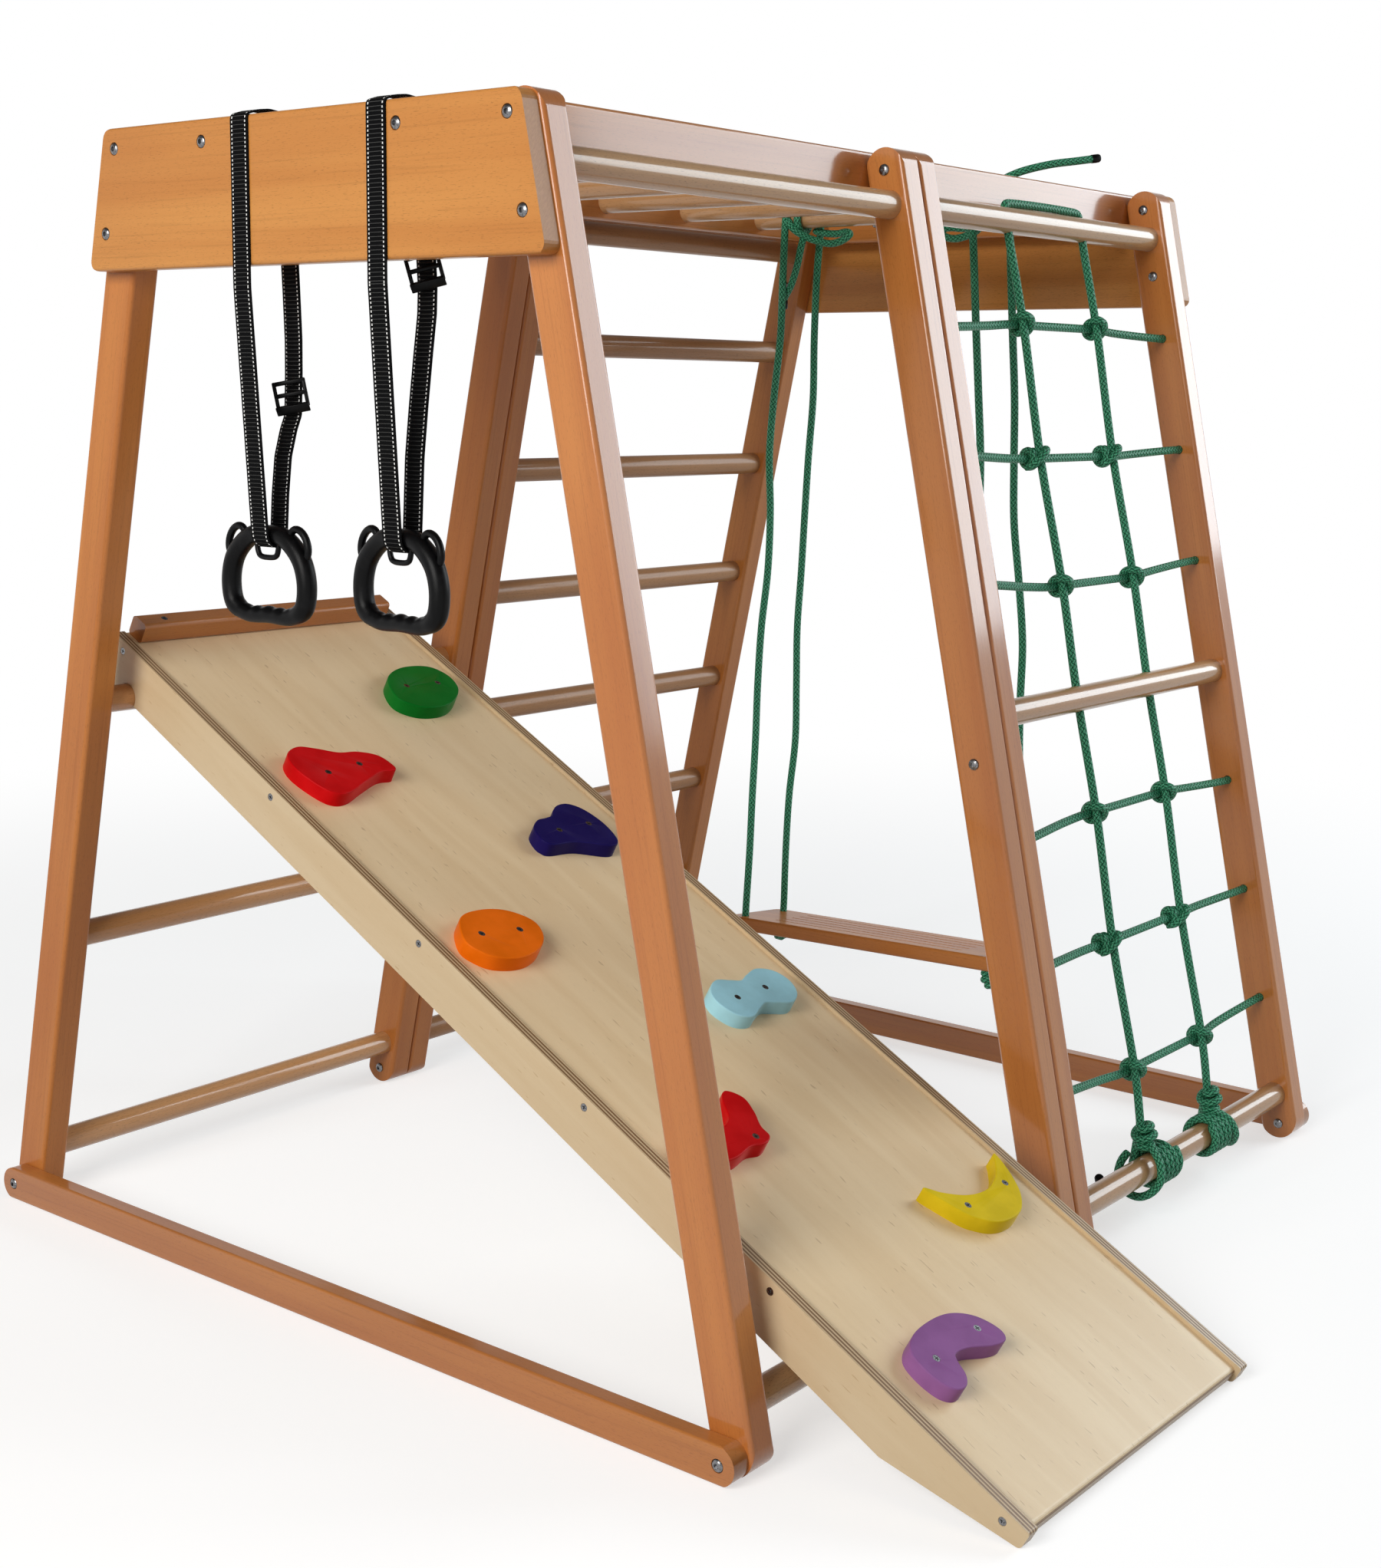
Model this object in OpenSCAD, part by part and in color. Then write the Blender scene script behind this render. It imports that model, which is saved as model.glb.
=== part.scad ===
// Wooden climbing frame: two A-shaped bays with a ladder, a rope net, monkey bars,
// a swing, a pair of hand rings and a climbing board with painted holds.
// Millimetres, +Z up, +X along the frame towards the swing, -Y towards the foot of the board.

/* [Frame] */
// Length over the outer faces of the end legs
frame_l = 1258; // [1200:1:1400]
// Height to the top of the legs
frame_h = 1275; // [1255:1:1320]
// Distance between the foot bolts of a leg pair
foot_spread = 1109; // [950:1:1300]
// Distance between the top bolts of a leg pair
top_spread = 581; // [540:1:640]
// Width of a leg, seen from the end of the frame
leg_w = 50; // [44:1:60]
// Thickness of a leg along the frame
leg_t = 35; // [30:1:42]
// Rounding of the legs' long edges
leg_edge_r = 5; // [1:0.5:8]
// Gap between the two centre legs
seam = 0.6; // [0.4:0.1:2]
// Height of an end board
board_h = 150; // [130:1:170]
// Thickness of the end boards and floor rails
board_t = 22; // [16:1:26]
// Step from the top of the legs down to the top of the boards
board_drop = 3; // [1:0.5:6]
// Reach of the board past the leg's centre line
board_over = 21; // [16:0.5:24]
// Height of a floor rail
rail_h = 40; // [34:1:44]

/* [Top ladder] */
// Height of the top beams and cross-pieces
beam_h = 50; // [44:1:60]
// Thickness of the top beams and cross-pieces
beam_t = 35; // [30:1:40]
// Number of monkey bars
bar_count = 6; // [5:1:7]
// Depth of a monkey bar in its beam
bar_seat = 20; // [14:1:24]
// Distance from the middle to an inner board bolt
inner_bolt_y = 144.5; // [142:0.5:190]

/* [Dowels] */
// Diameter of rungs, dowels and monkey bars
dowel_d = 32; // [28:1:34]
// Depth of a dowel in its leg
dowel_seat = 25; // [18:1:28]
// Step from the top of the legs down to the middle of the top dowels
dowel_top_drop = 64; // [58:1:72]
// Height of the bottom dowels
dowel_low_z = 60; // [58:1:80]
// Height of the rung that carries the climbing board, and of the net's middle dowel
dowel_mid_z = 633; // [620:1:650]
// Distance between two rows of the net, as a share of the height between two net dowels
net_share = 0.2568; // [0.24:0.0002:0.264]
// Distance between ladder rungs
ladder_pitch = 171.3; // [160:0.1:175]
// Height of the lowest inner ladder rung
ladder_first_z = 205; // [190:1:220]
// Play of a dowel in its hole, on the radius
dowel_play = 0.1; // [0.05:0.05:0.3]

/* [Bolts] */
// Diameter of a bolt shank
bolt_d = 8; // [6:0.5:9]
// Diameter of a bolt head and a sleeve nut's head
bolt_head_d = 13; // [11:0.5:15]
// Depth of the shallow seat round a bolt head
bolt_seat = 2; // [1:0.5:4]
// Height of the centre bolts
centre_bolt_z = 585; // [575:1:600]
// Distance between the two bolts of a leg in its board
board_bolt_gap = 88.5; // [75:0.5:95]

/* [Rope] */
// Diameter of the braided rope
rope_d = 10.5; // [9:0.5:12]
// Play of a rope in its hole, on the radius
rope_play = 0.6; // [0.5:0.1:1]
// Turns of the net rope round the bottom dowel
net_turns = 3.5; // [1.5:1:4.5]

/* [Swing] */
// Length of the seat
seat_l = 460; // [420:1:500]
// Width of the seat
seat_w = 130; // [120:1:150]
// Thickness of the seat
seat_t = 20; // [16:1:26]
// Height of the seat's top above the floor
seat_z = 230; // [200:1:400]
// Sideways tilt of the hanging seat
seat_tilt = 5.9; // [0:0.1:8]
// Rise of the seat's front end, as an angle
seat_pitch = 1.7; // [0:0.1:3]
// Distance of a seat hole from the end of the seat
seat_hole_in = 19; // [14:1:40]
// Distance between the two holes at one end
seat_hole_gap = 96; // [80:1:98]
// Distance from the middle to a rope on the bar
swing_tie_y = 154; // [120:1:180]

/* [Climbing board] */
// Free width beside the board in its bay, both sides together
slide_room = 119.7; // [100:0.1:140]
// Length of the side rails
slide_l = 1457; // [1420:1:1500]
// Distance of the board's middle from the middle of its bay
slide_shift = -32.35; // [-36:0.05:36]
// Turn of the board about the vertical; it lies loose on its rung
slide_turn = -0.4; // [-0.5:0.1:0.5]
// Depth of a side rail
slide_rail_h = 60; // [54:1:66]
// Thickness of the plywood rails and panel
ply_t = 15; // [12:1:18]
// Height of the rails above the panel
slide_proud = 4; // [2:0.5:8]
// Depth of the rails at the tip of their taper
slide_tip_h = 20; // [18:1:30]
// Length of the taper
slide_taper = 150; // [120:1:180]
// Distance from the rung to the upper end of the rails
slide_hook = 55; // [40:1:70]
// Depth of the rung's middle above the rails' lower edge
saddle_rise = 2.5; // [0:0.5:5]
// Side of the square cleat at the upper end
cleat_s = 26; // [20:1:30]
// Gap from the cleat to a rail
cleat_gap = 8; // [4:1:20]

/* [Holds] */
// Thickness of a hold
hold_t = 18; // [14:1:24]
// Rounding of a hold's upper edge
hold_r = 2.5; // [1:0.5:3]
// Distance between the two screws of a hold
hold_screw_gap = 52; // [44:1:54]

/* [Rings] */
// Place of the first ring strap across the frame
strap_y1 = 82; // [60:1:115]
// Place of the second ring strap across the frame
strap_y2 = -119; // [-122:1:-95]
// Width of the webbing
strap_w = 25; // [20:1:28]
// Thickness of the webbing
strap_t = 2; // [1.5:0.1:3]
// Height of the ring's top bar above the floor
ring_z = 846; // [800:1:900]
// Step from the board's lower edge down to the line where the webbing bends
strap_bend_drop = 22; // [21:1:30]

/* [Hidden] */
$fn = 48;

beech = [0.80, 0.50, 0.26];
pale_beech = [0.86, 0.68, 0.48];
birch = [0.86, 0.77, 0.62];
steel = [0.72, 0.72, 0.74];
rope_green = [0.05, 0.42, 0.24];
black = [0.06, 0.06, 0.07];

// Corners of the frame
FRONT = -1;
BACK = 1;
half_l = frame_l / 2;
top_bolt_z = frame_h - leg_w / 2;
foot_bolt_z = rail_h / 2;
lean = (foot_spread - top_spread) / 2 / (top_bolt_z - foot_bolt_z);
lean_a = atan(lean);
leg_len = (top_bolt_z - leg_w / 2) / cos(lean_a);
board_top = frame_h - board_drop;
board_low_bolt_z = top_bolt_z - board_bolt_gap;
dowel_top_z = frame_h - dowel_top_drop;
leg_x = [-half_l, -leg_t - seam / 2, seam / 2, half_l - leg_t];

// Distance of a leg's centre line from the middle plane at a height
function leg_y(z) = foot_spread / 2 - (z - foot_bolt_z) * lean;

// Dowel heights in each panel
ladder_z = [dowel_low_z, for (i = [0:5]) ladder_first_z + i * ladder_pitch, dowel_top_z];
upper_pitch = net_share * (dowel_top_z - dowel_mid_z);
lower_pitch = net_share * (dowel_mid_z - dowel_low_z);
low_rung_z = dowel_mid_z - 2 * lower_pitch;
net_rows = [for (i = [3, 2, 1, -1, -2, -3]) dowel_mid_z + i * (i > 0 ? upper_pitch : lower_pitch)];
panel_dowels = [
    [[dowel_low_z, dowel_top_z], [dowel_low_z, dowel_mid_z, dowel_top_z]],
    [[dowel_low_z, low_rung_z, dowel_mid_z, dowel_top_z], ladder_z]
];

// Top ladder
beam_out = top_spread / 2 - leg_w / 2 - 0.6;
beam_in = beam_out - beam_t;
beam_mid_z = board_top - beam_h / 2;
bar_pitch = (frame_l - 2 * beam_t) / (bar_count + 1);
bar_x = [for (i = [1:bar_count]) -half_l + beam_t + i * bar_pitch];
swing_x = bar_x[bar_count - 1];
inner_bolt_z = board_top - beam_h / 2 + 2;

// Ropes
rope_r = rope_d / 2;
rope_hole_r = rope_r + rope_play;
wind_r = dowel_d / 2 + rope_r + 0.4;
net_x = [for (i = [1, 2]) leg_x[2] + leg_t + i * (leg_x[3] - leg_x[2] - leg_t) / 3];
rope_sides = 8;
wound_sides = 6;
wind_steps = 24;

// Climbing board: its saddles lie on the rung and its rounded tip on the floor
rung_y = leg_y(dowel_mid_z);
slide_w = leg_x[1] - leg_x[0] - leg_t - slide_room;
slide_x = (leg_x[0] + leg_t + leg_x[1]) / 2 + slide_shift;
saddle_r = dowel_d / 2 + 0.4;
saddle_w = slide_l - slide_hook;
saddle_h = saddle_rise - slide_rail_h;
tip_r = 6;
nose_r = 3;
taper_a = atan2(slide_rail_h - slide_tip_h, slide_taper);
tip_h = -slide_tip_h + tip_r * (1 - sin(taper_a)) / cos(taper_a);
slide_a = asin((dowel_mid_z - tip_r) / norm([saddle_w - tip_r, saddle_h - tip_h]))
    - atan2(saddle_h - tip_h, saddle_w - tip_r);
slide_nose_h = tip_r - tip_r * sin(slide_a) - tip_h * cos(slide_a);
slide_y = rung_y - (saddle_w * cos(slide_a) - saddle_h * sin(slide_a)) * cos(slide_turn);
panel_w = slide_w - 2 * ply_t;
panel_top = -slide_proud;
panel_in = 4;
screw_d = 4;
screw_head_d = 8;
screw_sunk = 0.3;
screw_end = 26;
slide_screw_w = [
    screw_end, for (i = [1:4]) 2 * screw_end + i * (slide_l - screw_end) * 0.1885, slide_l - screw_end
];

// Ring straps
strap_gap = 0.3;
strap_bend_z = board_top - board_h - strap_bend_drop;
strap_out_x = -half_l - board_t - strap_gap - strap_t / 2;
strap_in_x = -half_l + beam_t + strap_gap + strap_t / 2;
strap_top_z = board_top + strap_gap + strap_t / 2;
ring_x = (strap_out_x + strap_in_x) / 2;
ring_tube_r = 10.5;
ring_turn = [0, -5];
ring_off = [3, 3];
ring_up = [0, 6];
sling_r = [for (turn = ring_turn) ring_tube_r + 1.4 + 0.16 * abs(turn) + strap_t / 2];
sling_share = (top_bolt_z - strap_bend_z) / (top_bolt_z - ring_z);
sling_in_x = strap_in_x + (ring_x + sling_r[0] - strap_in_x) * sling_share;

// The part's own middle lies half-way between the board's foot and the back feet
back_reach = leg_y(leg_w / 2) + leg_w / 2;
front_reach = -slide_y + slide_w / 2 * abs(sin(slide_turn)) - nose_r * (cos(slide_a) + sin(slide_a) - 1);
y_mid = (front_reach - back_reach) / 2;

module in_frame() {
    translate([0, y_mid, 0]) children();
}

// Outlines

function unit(v) = v / norm(v);

// Arc that rounds the corner c between its neighbours
function corner(before, c, after, r, steps) =
    r == 0 ? [c] :
    let (a = unit(before - c), b = unit(after - c), half = acos(a * b) / 2)
    let (mid = c + unit(a + b) * r / sin(half), from = c + a * r / tan(half) - mid)
    let (to = c + b * r / tan(half) - mid, start = atan2(from.y, from.x))
    let (turn = (atan2(to.y, to.x) - start + 540) % 360 - 180)
    [for (i = [0:steps]) mid + r * [cos(start + turn * i / steps), sin(start + turn * i / steps)]];

// Outline with each corner rounded by its own radius
function rounded(points, radii, steps = 6) =
    let (n = len(points))
    [for (i = [0:n - 1])
        each corner(points[(i + n - 1) % n], points[i], points[(i + 1) % n], radii[i], steps)];

function rectangle(w, h, r) =
    rounded([[-w / 2, -h / 2], [w / 2, -h / 2], [w / 2, h / 2], [-w / 2, h / 2]], [r, r, r, r]);

// Smooth curve through a, b, c, d between b and c
function blend(a, b, c, d, t) =
    (2 * b + (c - a) * t + (2 * a - 5 * b + 4 * c - d) * t ^ 2 + (3 * b - a - 3 * c + d) * t ^ 3) / 2;

// Smooth closed curve through hand-chosen points
function loop(points, steps) =
    let (n = len(points))
    [for (i = [0:n - 1], j = [0:steps - 1])
        blend(points[(i + n - 1) % n], points[i], points[(i + 1) % n], points[(i + 2) % n], j / steps)];

// Outline moved inwards; it runs anticlockwise
function inset(points, d) =
    let (n = len(points))
    [for (i = [0:n - 1])
        let (along = unit(points[(i + 1) % n] - points[(i + n - 1) % n]))
        points[i] + d * [-along.y, along.x]];

// Sweeps

// Direction of a path at point i
function heading(path, i, closed) =
    let (n = len(path))
    closed ? unit(path[(i + 1) % n] - path[(i + n - 1) % n])
           : unit(path[min(i + 1, n - 1)] - path[max(i - 1, 0)]);

// Side vector carried along a path without twist
function carried(side, along) = unit(side - along * (side * along));

// Rings of points round a path
function rings(path, radii, sides, side, closed) =
    [for (i = 0, s = carried(side, heading(path, 0, closed)); i < len(path);
          i = i + 1, s = i < len(path) ? carried(s, heading(path, i, closed)) : s)
        let (up = cross(heading(path, i, closed), s))
        [for (j = [0:sides - 1])
            path[i] + radii[i] * (s * cos(360 * j / sides) + up * sin(360 * j / sides))]];

// Faces between stacked rings, with end caps unless the stack is closed on itself
function stack_faces(n, sides, closed) = concat(
    [for (i = [0:n - (closed ? 1 : 2)], j = [0:sides - 1], half = [0, 1])
        let (a = i * sides + j, b = i * sides + (j + 1) % sides)
        let (up = (i + 1) % n * sides)
        half == 0 ? [a, up + j, up + (j + 1) % sides] : [a, up + (j + 1) % sides, b]],
    closed ? [] : [[for (j = [0:sides - 1]) j], [for (j = [sides - 1:-1:0]) (n - 1) * sides + j]]
);

module tube(path, radii, sides, side = [1, 0, 0], closed = false) {
    stack = rings(path, radii, sides, side, closed);
    polyhedron([for (ring = stack) each ring], stack_faces(len(path), sides, closed));
}

// Sub-parts of the frame

// A bar along Z with a rounded profile, its middle on the Z axis
module bar(w, h, l, r) {
    linear_extrude(l) polygon(rectangle(w, h, r));
}

module along_x(x, y, z) {
    translate([x, y, z]) rotate([0, 90, 0]) children();
}

module leg_blank(column, side) {
    translate([leg_x[column], side * leg_y(leg_w / 2), leg_w / 2]) rotate([side * lean_a, 0, 0])
    intersection() {
        rotate([90, 0, 90]) linear_extrude(leg_t) {
            translate([-leg_w / 2, 0]) square([leg_w, leg_len]);
            circle(leg_w / 2);
            translate([0, leg_len]) circle(leg_w / 2);
        }
        translate([leg_t / 2, 0, -leg_w / 2]) bar(leg_t, leg_w, leg_len + leg_w, leg_edge_r);
    }
}

// Hole for a dowel or rope, open on the bay's side of the leg
module leg_socket(column, side, z, r, depth) {
    opens_right = column % 2 == 0;
    x = opens_right ? leg_x[column] + leg_t - depth : leg_x[column] - 1;
    along_x(x, side * leg_y(z), z) cylinder(r = r, h = depth + 1);
}

module leg(column, side) {
    bay = column < 2 ? 0 : 1;
    row = side == FRONT ? 0 : 1;
    is_end = column == 0 || column == 3;
    color(beech) in_frame() difference() {
        leg_blank(column, side);
        for (z = panel_dowels[row][bay])
            leg_socket(column, side, z, dowel_d / 2 + dowel_play, dowel_seat);
        if (row == 0 && bay == 1)
            for (z = net_rows) leg_socket(column, side, z, rope_hole_r, dowel_seat);
        for (z = [top_bolt_z, is_end ? board_low_bolt_z : centre_bolt_z, foot_bolt_z])
            along_x(leg_x[column] - 1, side * leg_y(z), z) cylinder(d = bolt_d + 0.4, h = leg_t + 2);
    }
}

// Both bolt rows of an end board: [y, z]
board_bolts = [
    for (s = [FRONT, BACK]) each
        [[s * leg_y(top_bolt_z), top_bolt_z], [s * leg_y(board_low_bolt_z), board_low_bolt_z],
         [s * inner_bolt_y, inner_bolt_z]]
];
rail_bolts = [for (s = [FRONT, BACK]) [s * foot_spread / 2, foot_bolt_z]];

module end_board(end) {
    z_low = board_top - board_h;
    low = leg_y(z_low) + board_over;
    high = leg_y(board_top) + board_over;
    x = end < 0 ? -half_l - board_t : half_l;
    seat_x = end < 0 ? -half_l - board_t - 1 : half_l + board_t - bolt_seat;
    color(beech) in_frame() difference() {
        intersection() {
            translate([x, 0, 0]) rotate([90, 0, 90]) linear_extrude(board_t)
                polygon(rounded(
                    [[-low, z_low], [low, z_low], [high, board_top], [-high, board_top]],
                    [10, 10, 14, 14]
                ));
            translate([x + board_t / 2, 0, board_top - board_h / 2]) rotate([90, 0, 0])
                translate([0, 0, -low]) bar(board_t, board_h, 2 * low, 4);
        }
        for (b = board_bolts) {
            along_x(x - 1, b.x, b.y) cylinder(d = bolt_d + 0.4, h = board_t + 2);
            along_x(seat_x, b.x, b.y) cylinder(d = bolt_head_d + 1, h = bolt_seat + 1);
        }
    }
}

module floor_rail(end) {
    x = end < 0 ? -half_l - board_t : half_l;
    seat_x = end < 0 ? -half_l - board_t - 1 : half_l + board_t - bolt_seat;
    color(beech) in_frame() difference() {
        intersection() {
            translate([x, 0, rail_h / 2]) rotate([90, 0, 90]) linear_extrude(board_t) {
                square([foot_spread, rail_h], center = true);
                for (b = rail_bolts) translate([b.x, 0]) circle(rail_h / 2);
            }
            translate([x + board_t / 2, foot_spread / 2 + rail_h, rail_h / 2]) rotate([90, 0, 0])
                bar(board_t, rail_h, foot_spread + 2 * rail_h, 3);
        }
        for (b = rail_bolts) {
            along_x(x - 1, b.x, b.y) cylinder(d = bolt_d + 0.4, h = board_t + 2);
            along_x(seat_x, b.x, b.y) cylinder(d = bolt_head_d + 1, h = bolt_seat + 1);
        }
    }
}

beam_screw_l = 70;

module top_beam(side) {
    color(beech) in_frame() difference() {
        along_x(-half_l, side * (beam_in + beam_out) / 2, beam_mid_z)
            bar(beam_h, beam_t, frame_l, 4);
        for (x = bar_x)
            translate([x, side * (beam_in - 1), beam_mid_z]) rotate([-side * 90, 0, 0])
                cylinder(d = dowel_d + 2 * dowel_play, h = bar_seat + 1);
        for (end = [-1, 1]) beam_screw(end, side, 0.2);
    }
}

// Screw through a beam into the end of a cross-piece
module beam_screw(end, side, play) {
    translate([end * (half_l - beam_t / 2), side * beam_out, beam_mid_z]) rotate([side * 90, 0, 0]) {
        cylinder(r1 = 6 + play, r2 = 3 + play, h = 4);
        cylinder(r = 3 + play, h = beam_screw_l + play);
    }
}

module top_cross(end) {
    color(beech) in_frame() difference() {
        translate([end * (half_l - beam_t / 2), beam_in, beam_mid_z]) rotate([90, 0, 0])
            bar(beam_t, beam_h, 2 * beam_in, 4);
        for (s = [FRONT, BACK]) {
            along_x(end * half_l - beam_t - 1, s * inner_bolt_y, inner_bolt_z)
                cylinder(d = bolt_d + 0.4, h = 2 * beam_t + 2);
            beam_screw(end, s, 0.2);
        }
    }
}

module beam_screws() {
    color(steel) in_frame() for (end = [-1, 1], side = [FRONT, BACK]) beam_screw(end, side, 0);
}

module monkey_bar(x) {
    l = 2 * (beam_in + bar_seat);
    translate([x, l / 2, beam_mid_z]) rotate([90, 0, 0]) cylinder(d = dowel_d, h = l);
}

module monkey_bars() {
    color(pale_beech) in_frame() for (i = [0:bar_count - 2]) monkey_bar(bar_x[i]);
}

module swing_bar() {
    color(pale_beech) in_frame() monkey_bar(swing_x);
}

// Dowel between the two legs of a bay
module dowel(bay, side, z) {
    x0 = leg_x[2 * bay] + leg_t - dowel_seat;
    x1 = leg_x[2 * bay + 1] + dowel_seat;
    along_x(x0, side * leg_y(z), z) cylinder(d = dowel_d, h = x1 - x0);
}

module dowels(bay, side, heights) {
    color(pale_beech) in_frame() for (z = heights) dowel(bay, side, z);
}

// Dowel of the net panel, with holes for the two upright ropes
module net_dowel(z) {
    color(pale_beech) in_frame() difference() {
        dowel(1, FRONT, z);
        for (x = net_x)
            translate([x, -leg_y(z), z]) rotate([-lean_a, 0, 0])
                cylinder(r = rope_hole_r, h = 2 * dowel_d, center = true);
    }
}

// Bolts and sleeve nuts

// Button head with a hex socket, its seat on z = 0 and its face up
module button_head() {
    difference() {
        rotate_extrude() polygon([
            [0, 0], [bolt_head_d / 2, 0], [bolt_head_d / 2, 1],
            for (i = [1:5]) [bolt_head_d / 2 * cos(15 * i), 1 + 3 * sin(15 * i)],
            [0, 4]
        ]);
        translate([0, 0, 1.8]) cylinder(d = 5.8, h = 4, $fn = 6);
    }
}

// Bolt along X with its head at x, pointing in the direction dir
module bolt(x, y, z, dir, l) {
    translate([x, y, z]) rotate([0, -dir * 90, 0]) {
        button_head();
        translate([0, 0, -l]) cylinder(d = bolt_d, h = l + 1);
    }
}

// Head of a sleeve nut on the bay's side of the leg
module nut(x, y, z, dir) {
    translate([x, y, z]) rotate([0, dir * 90, 0]) button_head();
}

module end_bolts() {
    color(steel) in_frame()
    for (end = [-1, 1], b = concat(board_bolts, rail_bolts))
        bolt(end * (half_l + board_t - bolt_seat), b.x, b.y, -end, board_t - bolt_seat + leg_t - 1);
}

module end_nuts() {
    color(steel) in_frame()
    for (end = [-1, 1], b = concat(board_bolts, rail_bolts)) {
        depth = abs(b.x) == inner_bolt_y ? beam_t : leg_t;
        nut(end * (half_l - depth), b.x, b.y, -end);
    }
}

centre_bolts_yz = [for (s = [FRONT, BACK], z = [top_bolt_z, centre_bolt_z, foot_bolt_z]) [s * leg_y(z), z]];

module centre_bolts() {
    color(steel) in_frame()
    for (b = centre_bolts_yz) bolt(leg_x[1], b.x, b.y, 1, 2 * leg_t + seam - 1);
}

module centre_nuts() {
    color(steel) in_frame()
    for (b = centre_bolts_yz) nut(leg_x[2] + leg_t, b.x, b.y, 1);
}

// Rope net in the front right bay

// Point of the net panel: along the frame, up the slope from the bottom dowel, out of the panel
function on_net(x, up, out) = [
    x,
    -leg_y(dowel_low_z) + up * sin(lean_a) - out * cos(lean_a),
    dowel_low_z + up * cos(lean_a) + out * sin(lean_a)
];
function net_up(z) = (z - dowel_low_z) / cos(lean_a);

// One upright, from its tail round the bottom dowel to the top dowel
wind_pitch = rope_d + 1.4;
over_top = net_up(dowel_top_z) + dowel_d / 2 + rope_r + 0.4;
bend_r = 8;
function net_upright(x, dir) = concat(
    [on_net(x + dir * wind_pitch * net_turns, 34, wind_r + 4)],
    [for (i = [0:ceil(net_turns * wind_steps)])
        let (turn = max(0, net_turns - i / wind_steps), a = 90 + 360 * turn)
        on_net(x + dir * wind_pitch * turn, wind_r * cos(a), -wind_r * sin(a))],
    [on_net(x, 30, 2 - wind_r), on_net(x, 65, -6), on_net(x, 95, 0), on_net(x, over_top - bend_r - 30, 0)],
    [for (a = [0:30:90]) on_net(x + dir * bend_r * (1 - cos(a)), over_top - bend_r * (1 - sin(a)), 0)]
);
function reversed(points) = [for (i = [len(points) - 1:-1:0]) points[i]];
net_path = concat(net_upright(net_x[0], 1), reversed(net_upright(net_x[1], -1)));

module net_upright_rope() {
    color(rope_green) in_frame() tube(net_path, [for (p = net_path) rope_r], wound_sides);
}

// A cross rope passes behind the uprights and swells to a knot beside each
behind = -rope_d - 0.4;
knot_r = 12.5;
knot_l = 14;
knot_out = 18;
knot_side = [1, -1, 1, 1, -1, 1];
knot_rise = [10, -4, -11, 8, -2, -14];
function knot_points(x, up) =
    [for (i = [-3:3]) on_net(x + knot_l * sin(30 * i), up, behind)];
knot_radii = [for (i = [-3:3]) max(rope_r, knot_r * cos(30 * i))];
function cross_path(row) =
    let (up = net_up(net_rows[row]), rise = knot_rise[row], shift = knot_out * knot_side[row])
    let (x0 = leg_x[2] + leg_t, x1 = leg_x[3], near = up + 0.7 * rise)
    concat(
        [on_net(x0 - dowel_seat + 1, up, 0), on_net(x0 + 12, up, 0), on_net(net_x[0] - 60, near, behind)],
        knot_points(net_x[0] + shift, up + rise),
        knot_points(net_x[1] + shift, up + rise),
        [on_net(net_x[1] + 60, near, behind), on_net(x1 - 12, up, 0), on_net(x1 + dowel_seat - 1, up, 0)]
    );
cross_radii = concat([rope_r, rope_r, rope_r], knot_radii, knot_radii, [rope_r, rope_r, rope_r]);

module net_cross_ropes() {
    color(rope_green) in_frame()
    for (row = [0:len(net_rows) - 1])
        tube(cross_path(row), cross_radii, rope_sides, [0, 0, 1]);
}

// Swing

seat_y = -10;
module swing_seat() {
    groove_w = 3;
    groove_pitch = 20;
    groove_end = 70;
    color(beech) in_frame() translate([swing_x, seat_y, seat_z]) rotate([-seat_pitch, seat_tilt, 0])
    translate([0, 0, -seat_t]) difference() {
        intersection() {
            linear_extrude(seat_t) polygon(rectangle(seat_w, seat_l, 16));
            translate([0, seat_l / 2, seat_t / 2]) rotate([90, 0, 0]) bar(seat_w, seat_t, seat_l, 4);
        }
        for (i = [-2:2])
            translate([i * groove_pitch - groove_w / 2, -seat_l / 2 + groove_end, seat_t - 1.5])
                cube([groove_w, seat_l - 2 * groove_end, 3]);
        for (h = [-1, 1], s = [FRONT, BACK])
            translate([h * seat_hole_gap / 2, s * (seat_l / 2 - seat_hole_in), -1])
                cylinder(r = rope_hole_r, h = seat_t + 2);
    }
}

// Point on the axis of a seat hole, at a height over the seat's top
function seat_hole(h, s, up) =
    let (x = h * seat_hole_gap / 2, y = s * (seat_l / 2 - seat_hole_in))
    let (y1 = y * cos(seat_pitch) + up * sin(seat_pitch), z1 = -y * sin(seat_pitch) + up * cos(seat_pitch))
    let (x2 = x * cos(seat_tilt) + z1 * sin(seat_tilt), z2 = -x * sin(seat_tilt) + z1 * cos(seat_tilt))
    [swing_x + x2, seat_y + y1, seat_z + z2];

// One rope: from its knot under the seat, round the bar and down to the second knot
tie_turns = 1.5;
tie_pitch = 20;
under_knot_r = 12;
under_drop = [24, 20, 12, 4, 0.4];
under_radii = [3, 9, under_knot_r, 9, rope_r];
function swing_run(h, s) = concat(
    [for (d = under_drop) seat_hole(h, s, -seat_t - d)], [seat_hole(h, s, 12)]
);
function swing_path(s) = concat(
    swing_run(-1, s),
    [for (i = [0:tie_turns * wind_steps])
        let (turn = i / wind_steps, a = 180 - 360 * turn)
        let (y = s * swing_tie_y + tie_pitch * (tie_turns / 2 - turn))
        [swing_x + wind_r * cos(a), y, beam_mid_z + wind_r * sin(a)]],
    reversed(swing_run(1, s))
);
swing_radii = concat(
    under_radii, [for (i = [0:tie_turns * wind_steps + 2]) rope_r], reversed(under_radii)
);

module swing_rope(s) {
    color(rope_green) in_frame() tube(swing_path(s), swing_radii, wound_sides);
}

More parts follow.
